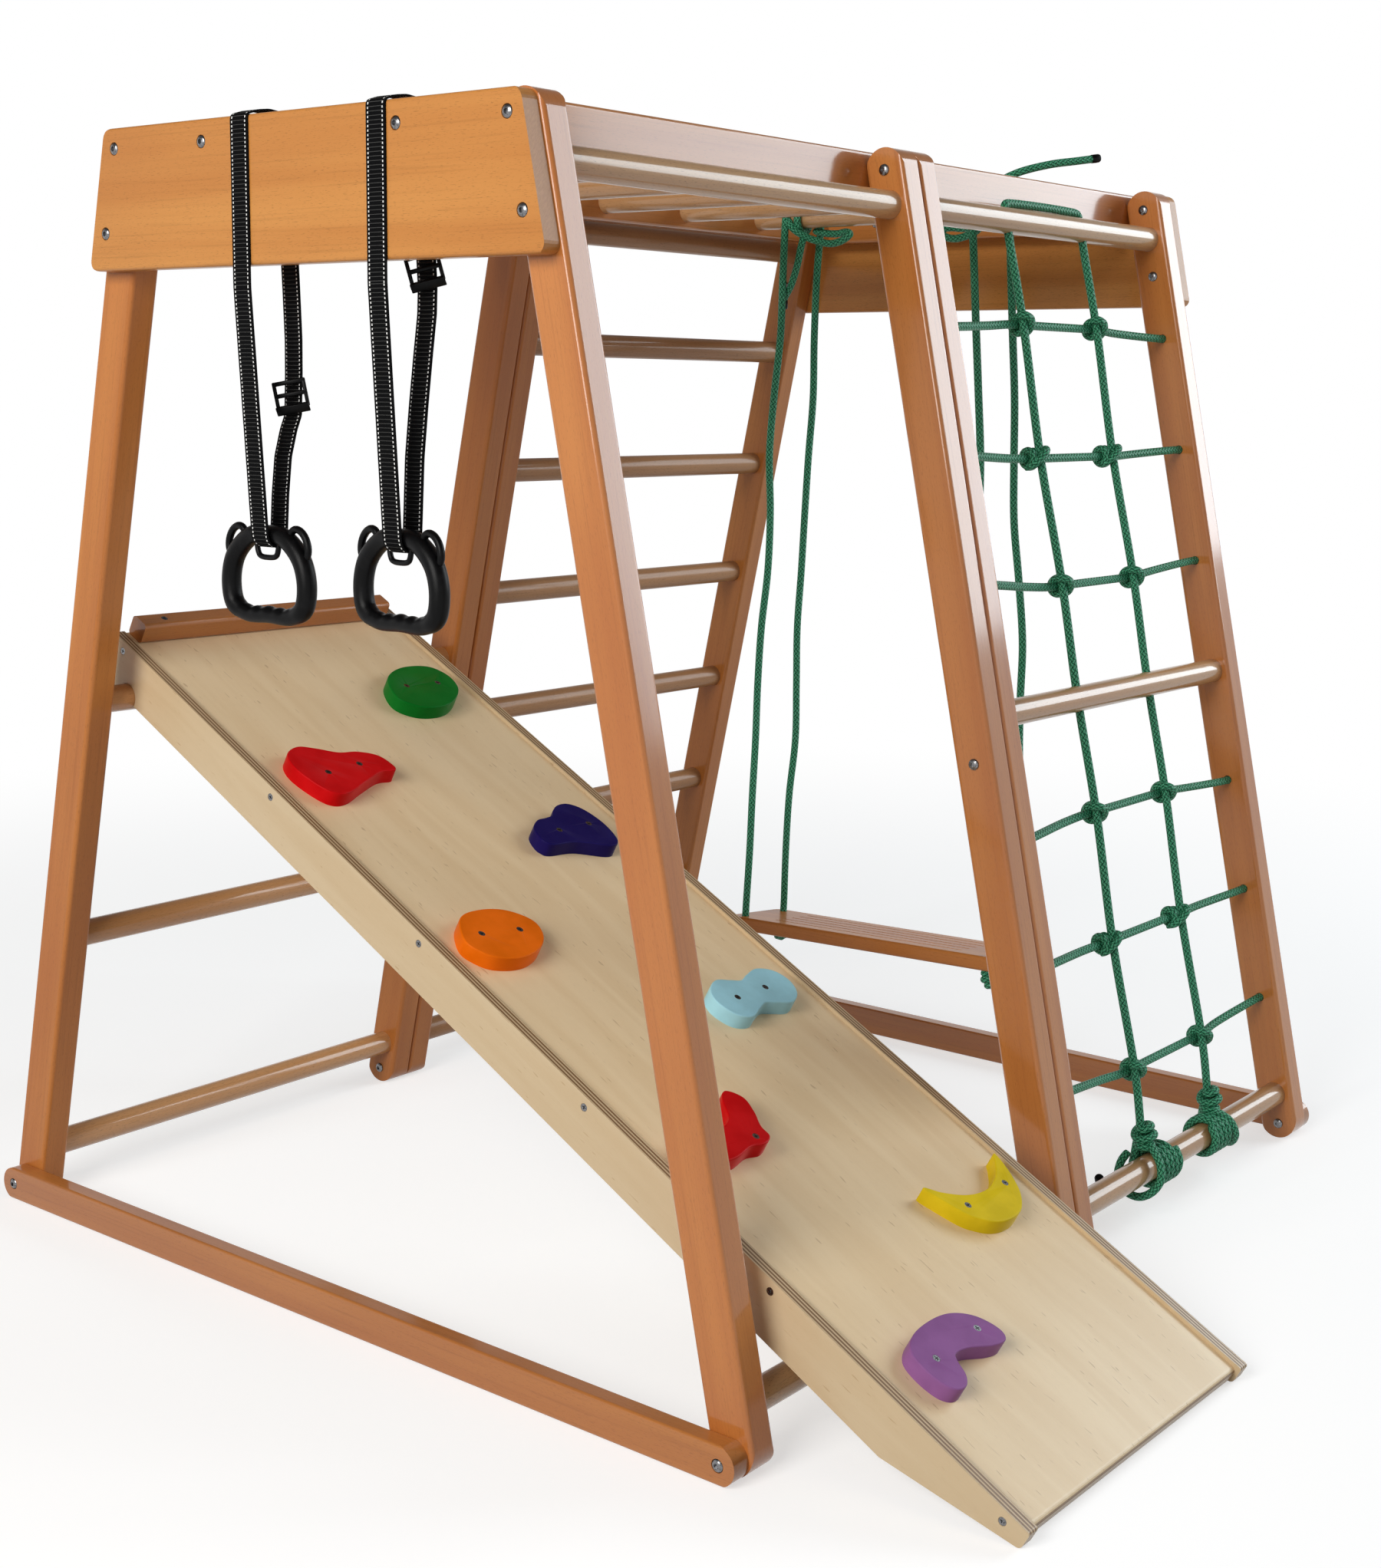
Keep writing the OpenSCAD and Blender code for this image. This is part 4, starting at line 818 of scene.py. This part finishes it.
def strap_line(i):
    """The whole loop of webbing in the XZ plane, from the outer bend, over the board and back round the ring."""
    made = [(OUT_X, BEND_Z)] + arc(OUT_X + FOLD_R, TOP_FACE - FOLD_R, FOLD_R, 180, 90)
    made += [(OUT_X + share * (IN_X - OUT_X), TOP_FACE + rise) for share, rise in HUMP]
    made += arc(IN_X - FOLD_R, TOP_FACE - FOLD_R, FOLD_R, 90, 0) + [(IN_X, IN_LOW_Z)]
    made += [sling_run(i, share, bow) for share, bow in reversed(BOWS[i])]
    return made + arc(RING_X, RING_Z + RING_UP[i], SLING_R[i], 360, 180)


def even_line(points, step=0.0021, rounds=2):
    """The closed polyline cut into even steps and softened."""
    p = np.array(points + points[:1], float)
    lengths = lengths_along(p)
    at = np.linspace(0, lengths[-1], int(lengths[-1] / step), endpoint=False)
    q = np.stack([np.interp(at, lengths, p[:, k]) for k in (0, 1)], 1)
    for _ in range(rounds):
        q = softened(q)
    return q


def band(path, y):
    """Vertices, faces and UVs of a loop of webbing along a path in the XZ plane; its edges are rounded."""
    along = headings(path, True)
    normal = np.stack([-along[:, 1], along[:, 0]], 1)
    r, half = WEB_T / 2, WEB_W / 2
    # Across the webbing, out of it, and U
    section = [(-half, 0.0, 0.0), (-half + r * 0.3, r * 0.75, 0.015), (-half + r, r, 0.04), (-half * 0.35, r, 0.325)]
    section += [(-a, b, 1 - u) for a, b, u in reversed(section)]
    section = [(a, -b, u) for a, b, u in section[1:-1]] + section[::-1]
    verts = [(p[0] + q[0] * b, y + a, p[1] + q[1] * b) for p, q in zip(path, normal) for a, b, _ in section]
    us = [u for _, _, u in section]
    return verts, ring_faces(len(path), len(section), True), ring_uvs(us + us[:1], lengths_along(path, True))


for i, y in enumerate(STRAP_Y):
    verts, faces, uvs = band(even_line(strap_line(i)), y + Y_MID)
    strap = mesh_piece(f"ring_strap_{i + 1}", verts, faces, WEB, None, (), "webbing", uvs, sharp=50)
    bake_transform(strap)
    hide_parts(f"strap_top_{i + 1}", f"strap_sling_{i + 1}")

BUCKLE_OFF, BUCKLE_TURN, BUCKLE_ROLL = (-0.008, -0.005, 0), radians(38), -0.22
BUCKLE_T, BUCKLE_W, BUCKLE_H = 0.0042, 0.0354, 0.030
SIDE_BAR, SIDE_Y = (BUCKLE_T, 0.0038, BUCKLE_H), 0.0158
CROSS_BAR, CROSS_Z = (BUCKLE_T, BUCKLE_W, 0.0046), 0.0127
LIP, LIP_AT, LIP_TURN = (0.0026, BUCKLE_W, 0.0100), (-0.0038, 0, -0.0160), radians(-35)


def rounded_box(place, size):
    """Vertices and faces of a box with rounded edges, on a grid of four lines each way."""
    r = min(size) * 0.28
    grid, verts, faces = {}, [], []
    for corner in product(range(4), repeat=3):
        inner = [k in (1, 2) for k in corner]
        if all(inner):
            continue
        pull = (0.45, 0.3, 0.0)[sum(inner)]
        p = [(full / 2 - r * (1 if i else pull)) * (1 if k > 1 else -1) for k, i, full in zip(corner, inner, size)]
        grid[corner] = len(verts)
        verts.append(place @ Vector(p))
    for k, fixed, a, b in product(range(3), (0, 3), range(3), range(3)):
        pairs = ((a, b), (a + 1, b), (a + 1, b + 1), (a, b + 1))
        quad = [grid[pair[:k] + (fixed,) + pair[k:]] for pair in pairs]
        faces.append(tuple(quad[::-1] if (fixed == 0) != (k == 1) else quad))
    return verts, faces


def buckle(name, at, run, y, body, node):
    """A ladder-lock buckle, turned about the webbing that it holds: side bars, three cross bars and a raised lip."""
    place = Matrix.Translation((at[0], y + Y_MID, at[1])) @ Matrix.Rotation(atan(run[0] / run[1]), 4, "Y")
    place = place @ Matrix.Translation(BUCKLE_OFF)
    place = place @ Matrix.Rotation(BUCKLE_TURN, 4, "Z") @ Matrix.Rotation(BUCKLE_ROLL, 4, "X")
    parts = [rounded_box(place @ Matrix.Translation((0, s * SIDE_Y, 0)), SIDE_BAR) for s in (-1, 1)]
    parts += [rounded_box(place @ Matrix.Translation((0, 0, s * CROSS_Z)), CROSS_BAR) for s in (-1, 0, 1)]
    parts.append(rounded_box(place @ Matrix.Translation(LIP_AT) @ Matrix.Rotation(LIP_TURN, 4, "Y"), LIP))
    mesh_piece(name, *joined(parts), BLACK, body, [node], "black_plastic", sharp=60)


run_1 = np.subtract(sling_run(0, 1, 0), sling_run(0, 0, 0))
bend_2 = np.array(sling_run(1, *BOWS[1][-1]))
run_2 = (IN_X, IN_LOW_Z) - bend_2
buckle("buckle_lower", sling_run(0, 0.574, 17), run_1, STRAP_Y[0], "sling_1", "buckle_1")
buckle("buckle_upper", bend_2 + 0.14 * run_2, run_2, STRAP_Y[1], "frame", "buckle_2")

# Hand rings, in their own YZ plane below the webbing

GRIP_Z = -0.085
RING_HALF = [(0.036, GRIP_Z), (0.055, -0.076), (0.0605, -0.053), (0.054, -0.027), (0.037, -0.009), (0.020, -0.0008)]
RING_LINE = [(0.0, 0.0)] + [(-y, z) for y, z in reversed(RING_HALF)] + [(0.0, GRIP_Z)] + RING_HALF
ARCH_R, ARCH_MORE, GRIP_R = 0.0098, 0.0008, 0.0094
WAVE_L, WAVE_DEPTH, WAVE_REACH = 0.018, 0.17, 0.045
KEEPER_HALF = [(0.013, -0.0225), (0.0165, -0.015), (0.0165, -0.004)]
KEEPER, KEEPER_R = [(-y, z) for y, z in reversed(KEEPER_HALF)] + [(0, -0.0245)] + KEEPER_HALF, 0.003
EAR_Y, EAR_Z, EAR_R = 0.0495, -0.009, 0.004
EAR_WIDE, EAR_TALL, EAR_COS, EAR_SIN = 0.0125, 0.0175, 0.85, 0.5


def hand_ring(i):
    """Arch and waved grip in one tube, two ear loops and the keeper loop under the webbing."""
    path = smooth_line([(0, y, z) for y, z in RING_LINE], 0.0025, closed=True)
    aside = np.abs(path[:, 1])
    grip = path[:, 2] < GRIP_Z + 0.0035
    radius = np.where(grip, GRIP_R, ARCH_R + ARCH_MORE * np.minimum(1.0, aside / 0.050))
    for _ in range(6):
        radius = softened(radius)

    def waves(ring):
        top = np.clip(ring[:, :, 2], 0, 1)
        lift = np.where(grip, 0.5 - 0.5 * np.cos(aside * 2 * pi / WAVE_L), 0.0)
        return 1.0 - WAVE_DEPTH * top * (lift * np.clip(1 - (aside / WAVE_REACH) ** 4, 0, 1))[:, None]

    parts = [tube(path, radius, 24, True, waves)]
    parts.append(tube(smooth_line([(0, y, z) for y, z in KEEPER], 0.002), KEEPER_R, 14))
    for s in (-1, 1):
        ear = []
        for a in np.arange(0, 2 * pi, pi / 20):
            out, over = EAR_WIDE * cos(a), EAR_TALL * sin(a)
            y, z = EAR_Y + out * EAR_COS - over * EAR_SIN, EAR_Z + out * EAR_SIN + over * EAR_COS
            ear.append((0, s * y, z))
        parts.append(tube(ear, EAR_R, 14, True))
    place = Matrix.Translation((RING_X, STRAP_Y[i] + RING_OFF[i] + Y_MID, RING_Z + RING_UP[i]))
    place = place @ Matrix.Rotation(RING_TURN[i], 4, "Z")
    verts, faces = joined(parts)
    verts, node = [place @ Vector(p) for p in verts], f"ring_{i + 1}"
    mesh_piece(f"hand_ring_{i + 1}", verts, faces, BLACK, node, [node], "black_plastic", sharp=70)


for i in range(2):
    hand_ring(i)

# Holds: outlines in millimetres, across the board and up its slope

HOLD_T, HOLD_R, HOLD_SINK = 0.018, 0.0018, 0.004
RIM_IN, RIM_STEPS = HOLD_R * 0.8, 6
BORE = ((0.0022, -0.001), (0.0022, HOLD_T - 0.004), (0.0042, HOLD_T), (0.0048, HOLD_T + 0.001))  # radius and height
EGG = [(-59, -18), (-42, -42), (-12, -49), (18, -42), (48, -19), (55, 11), (38, 35), (-5, 39), (-42, 21)]
DROP = [
    (43, -18), (66, -18), (69, -6), (62, 13), (40, 25), (14, 29), (-10, 42), (-32, 50), (-54, 40), (-63, 14),
    (-56, -22), (-44, -41), (-24, -43), (9, -30),
]
PEBBLE = [
    (-65, -4), (-64, -15), (-56, -22), (-25, -25), (-7, -31), (24, -45), (40, -40), (47, -22), (48, 2), (41, 27),
    (27, 41), (10, 42), (-4, 35), (-14, 27), (-27, 25), (-42, 24), (-58, 13),
]
ROUND_EGG = [
    (-54, 2), (-49, -21), (-34, -36), (-4, -44), (26, -38), (48, -21), (54, 4), (33, 29), (0, 39), (-32, 34),
]
PEANUT = [
    (-60, 0), (-52, -23), (-33, -32), (-13, -25), (4, -20), (20, -25), (41, -31), (61, -22), (70, -2), (63, 19),
    (42, 30), (20, 26), (4, 21), (-11, 26), (-31, 32), (-53, 20),
]
BOOMERANG = [
    (-62, 9), (-52, -12), (-22, -17), (8, -12), (28, -15), (43, -9), (45, 6), (55, 25), (60, 46), (47, 62),
    (32, 53), (16, 29), (-8, 23), (-38, 31), (-58, 25),
]
CRESCENT = [
    (-71, 37), (-67, 24), (-54, -8), (-42, -22), (-28, -32), (-11, -37), (10, -37), (28, -31), (46, -16), (58, 3),
    (66, 22), (69, 36), (65, 37), (56, 28), (37, 14), (8, 5), (-24, 9), (-52, 24), (-67, 38),
]
KIDNEY = [
    (-12, -8), (8, -10), (38, -21), (58, -22), (63, -9), (52, 13), (30, 28), (2, 33), (-34, 30), (-57, 18),
    (-63, -2), (-60, -26), (-50, -38), (-36, -39), (-25, -30), (-19, -15),
]
# Node, outline, place from the board's nose, turn and distance of its two screws, and colour
HOLDS = [
    ("hold_green", EGG, (117, 1264), -2, 52, (0.003, 0.165, 0.016)),
    ("hold_red_upper", DROP, (-120, 1131), 6, 52, (0.60, 0.002, 0.004)),
    ("hold_navy", PEBBLE, (107, 958), 0, 52, (0.010, 0.005, 0.090)),
    ("hold_orange", ROUND_EGG, (-138, 826), -9, 52, (0.86, 0.155, 0.002)),
    ("hold_sky", PEANUT, (98, 642), 1, 52, (0.37, 0.69, 0.80)),
    ("hold_red_lower", BOOMERANG, (-117, 471), -6, 52, (0.60, 0.002, 0.004)),
    ("hold_yellow", CRESCENT, (112, 295), 2, 78, (0.76, 0.56, 0.012)),
    ("hold_purple", KIDNEY, (-110, 175), 3, 78, (0.29, 0.115, 0.32)),
]


def even_loop(points, steps):
    """Smooth closed curve through given points, as in the solids."""
    p = np.array(points, float) / 1000
    made = []
    for a, b, c, d in zip(*(np.roll(p, k, 0) for k in (1, 0, -1, -2))):
        for k in range(steps):
            t = k / steps
            curve = 2 * b + (c - a) * t + (2 * a - 5 * b + 4 * c - d) * t**2
            made.append((curve + (3 * b - a - 3 * c + d) * t**3) / 2)
    return np.array(made)


def inset(outline, d):
    """Outline moved inwards, less where it turns tightly."""
    along = np.roll(outline, -1, 0) - np.roll(outline, 1, 0)
    length = np.linalg.norm(along, axis=1)
    along /= length[:, None]
    turn = np.arccos(np.clip((np.roll(along, 1, 0) * np.roll(along, -1, 0)).sum(1), -1, 1))
    room = np.minimum(1.0, 0.55 * length / np.maximum(turn, 1e-6) / HOLD_R)
    for _ in range(12):
        room = np.minimum(room, softened(room))
    return outline + (d * room)[:, None] * np.stack([-along[:, 1], along[:, 0]], 1)


def hold_piece(name, points, at, turn, gap, colour):
    """A slab with a rounded rim and two countersunk bores, flat on top."""
    outline = even_loop(points, 9)
    levels = [(outline, 0.0)]
    for k in range(RIM_STEPS + 1):
        a = pi / 2 * k / RIM_STEPS
        levels.append((inset(outline, RIM_IN * (1 - cos(a))), HOLD_T - HOLD_R * (1 - sin(a))))
    levels.append((inset(outline, RIM_IN + 0.0006), HOLD_T))
    place = Matrix((ACROSS, UP, OUT)).transposed().to_4x4()
    place.translation = NOSE + ACROSS * at[0] / 1000 + UP * at[1] / 1000 - OUT * HOLD_SINK
    verts = [place @ Vector((*p, z)) for ring, z in levels for p in ring]
    faces = ring_faces(len(levels), len(outline))
    made = mesh_piece(name + "_slab", verts, faces, paint(name, colour), None, (), name)
    bores = []
    for s in (-1, 1):
        spot = Matrix.Rotation(radians(turn), 2) @ Vector((s * gap / 2000, 0))
        bores.append(tube([(*spot, z) for _, z in BORE], [r for r, _ in BORE], 24))
    verts, faces = joined(bores)
    cutter = mesh_object(name + "_cutter", [place @ Vector(p) for p in verts], faces)
    change = made.modifiers.new("bores", "BOOLEAN")
    change.object, change.solver = cutter, "EXACT"
    bpy.context.view_layer.update()
    cut = bpy.data.meshes.new_from_object(made.evaluated_get(bpy.context.evaluated_depsgraph_get()))
    made.modifiers.clear()
    made.data = cut
    bpy.data.objects.remove(cutter)
    cut.polygons.foreach_set("use_smooth", [abs(face.normal.dot(OUT)) < 0.9995 for face in cut.polygons])
    cut.set_sharp_from_angle(angle=radians(38))
    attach(made, "climbing_board")
    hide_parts(name)


for entry in HOLDS:
    hold_piece(*entry)

# Cords: each rope with its route, the pieces that go with it and a tag

cords = [(*entry, "knot") for entry in swing_pieces] + [(upright, upright_path, tie_pieces, "bare")]
cords += [(*entry, "object") for entry in cross_pieces]

# Camera, light and floor

camera = bpy.data.objects.new("camera", bpy.data.cameras.new("camera"))
scene.collection.objects.link(camera)
right = Vector((0.624013978, -0.781320125, 0.012058919))
down = Vector((-0.115963056, -0.107855032, -0.987380302))
ahead = Vector((0.772760716, 0.614740722, -0.157907317))
view = Matrix((right, -down, -ahead)).transposed().to_4x4()
view.translation = Vector((-2.124083, -1.693569 + Y_MID, 1.000102))
camera.matrix_world = view
camera.data.sensor_width = 36.0
camera.data.lens = 49.53138
camera.data.shift_x = -0.004939
camera.data.shift_y = -0.030221
camera.data.clip_start, camera.data.clip_end = 0.05, 100.0
scene.camera = camera


def softbox(name, at, target, size, power, colour):
    lamp = bpy.data.lights.new(name, "AREA")
    lamp.shape = "RECTANGLE"
    lamp.size, lamp.size_y = size
    lamp.energy = power
    lamp.color = colour
    made = bpy.data.objects.new(name, lamp)
    scene.collection.objects.link(made)
    made.location = at
    made.rotation_euler = (Vector(target) - Vector(at)).to_track_quat("-Z", "Y").to_euler()


softbox("key_left", (-4.3, -0.5, 2.5), (0.0, 0.0, 0.6), (2.4, 2.2), 152.0, (1.0, 0.985, 0.96))
softbox("key_right", (4.3, -2.6, 2.7), (0.0, 0.0, 0.9), (3.0, 2.9), 170.0, (0.84, 0.94, 1.0))


def seen_white(look, white, share=1.0):
    """White for camera rays, and as far as share for glossy and transmitted ones; else the look's own shader."""
    rays = look.node("LightPath").outputs
    mirrored = look.math("MAXIMUM", rays["Is Glossy Ray"], rays["Is Transmission Ray"])
    seen = look.math("MAXIMUM", rays["Is Camera Ray"], look.times(mirrored, share))
    pick = look.node("MixShader", {0: seen, 1: look.shader.outputs[0], 2: white.outputs[0]})
    look.feed(look.output.inputs["Surface"], pick.outputs[0])


WHITE = (1.0, 1.0, 1.0, 1.0)
studio = Look("studio", world=True)
scene.world = studio.made
studio.set(Color=(1.0, 0.99, 0.985, 1.0), Strength=0.17)
backdrop = studio.node("Background", {"Color": WHITE, "Strength": 1.0})
# The backdrop's wall ends above the object, and the ceiling over it is plain
rise = studio.node("SeparateXYZ", {0: studio.node("TexCoord").outputs["Generated"]}).outputs["Z"]
seen_white(studio, backdrop, studio.minus(1.0, studio.steps(rise, 0.2, 0.55)))

FLOOR_HALF, FLOOR_Z = 40, -0.0005
paper = Look("pale_floor")
paper.set(Base_Color=(0.55, 0.55, 0.55, 1.0), Roughness=0.9, Specular_IOR_Level=0.0)
glow = paper.node("Emission", {"Color": WHITE, "Strength": 0.6})
lit = paper.node("AddShader", {0: paper.shader.outputs[0], 1: glow.outputs[0]})
sweep = paper.node("Emission", {"Color": WHITE, "Strength": 1.0})
away = paper.node("VectorMath", {0: paper.place()[0]}, operation="LENGTH").outputs["Value"]
fade = paper.node("MixShader", {0: paper.steps(away, 1.2, 3.6), 1: lit.outputs[0], 2: sweep.outputs[0]})
seen_white(paper, fade)
corners = [(x * FLOOR_HALF, y * FLOOR_HALF, FLOOR_Z) for x, y in ((-1, -1), (1, -1), (1, 1), (-1, 1))]
floor = mesh_object("floor", corners, [(0, 1, 2, 3)])
floor.data.materials.append(paper.made)

scene.view_settings.view_transform = "Standard"
scene.view_settings.look = "None"
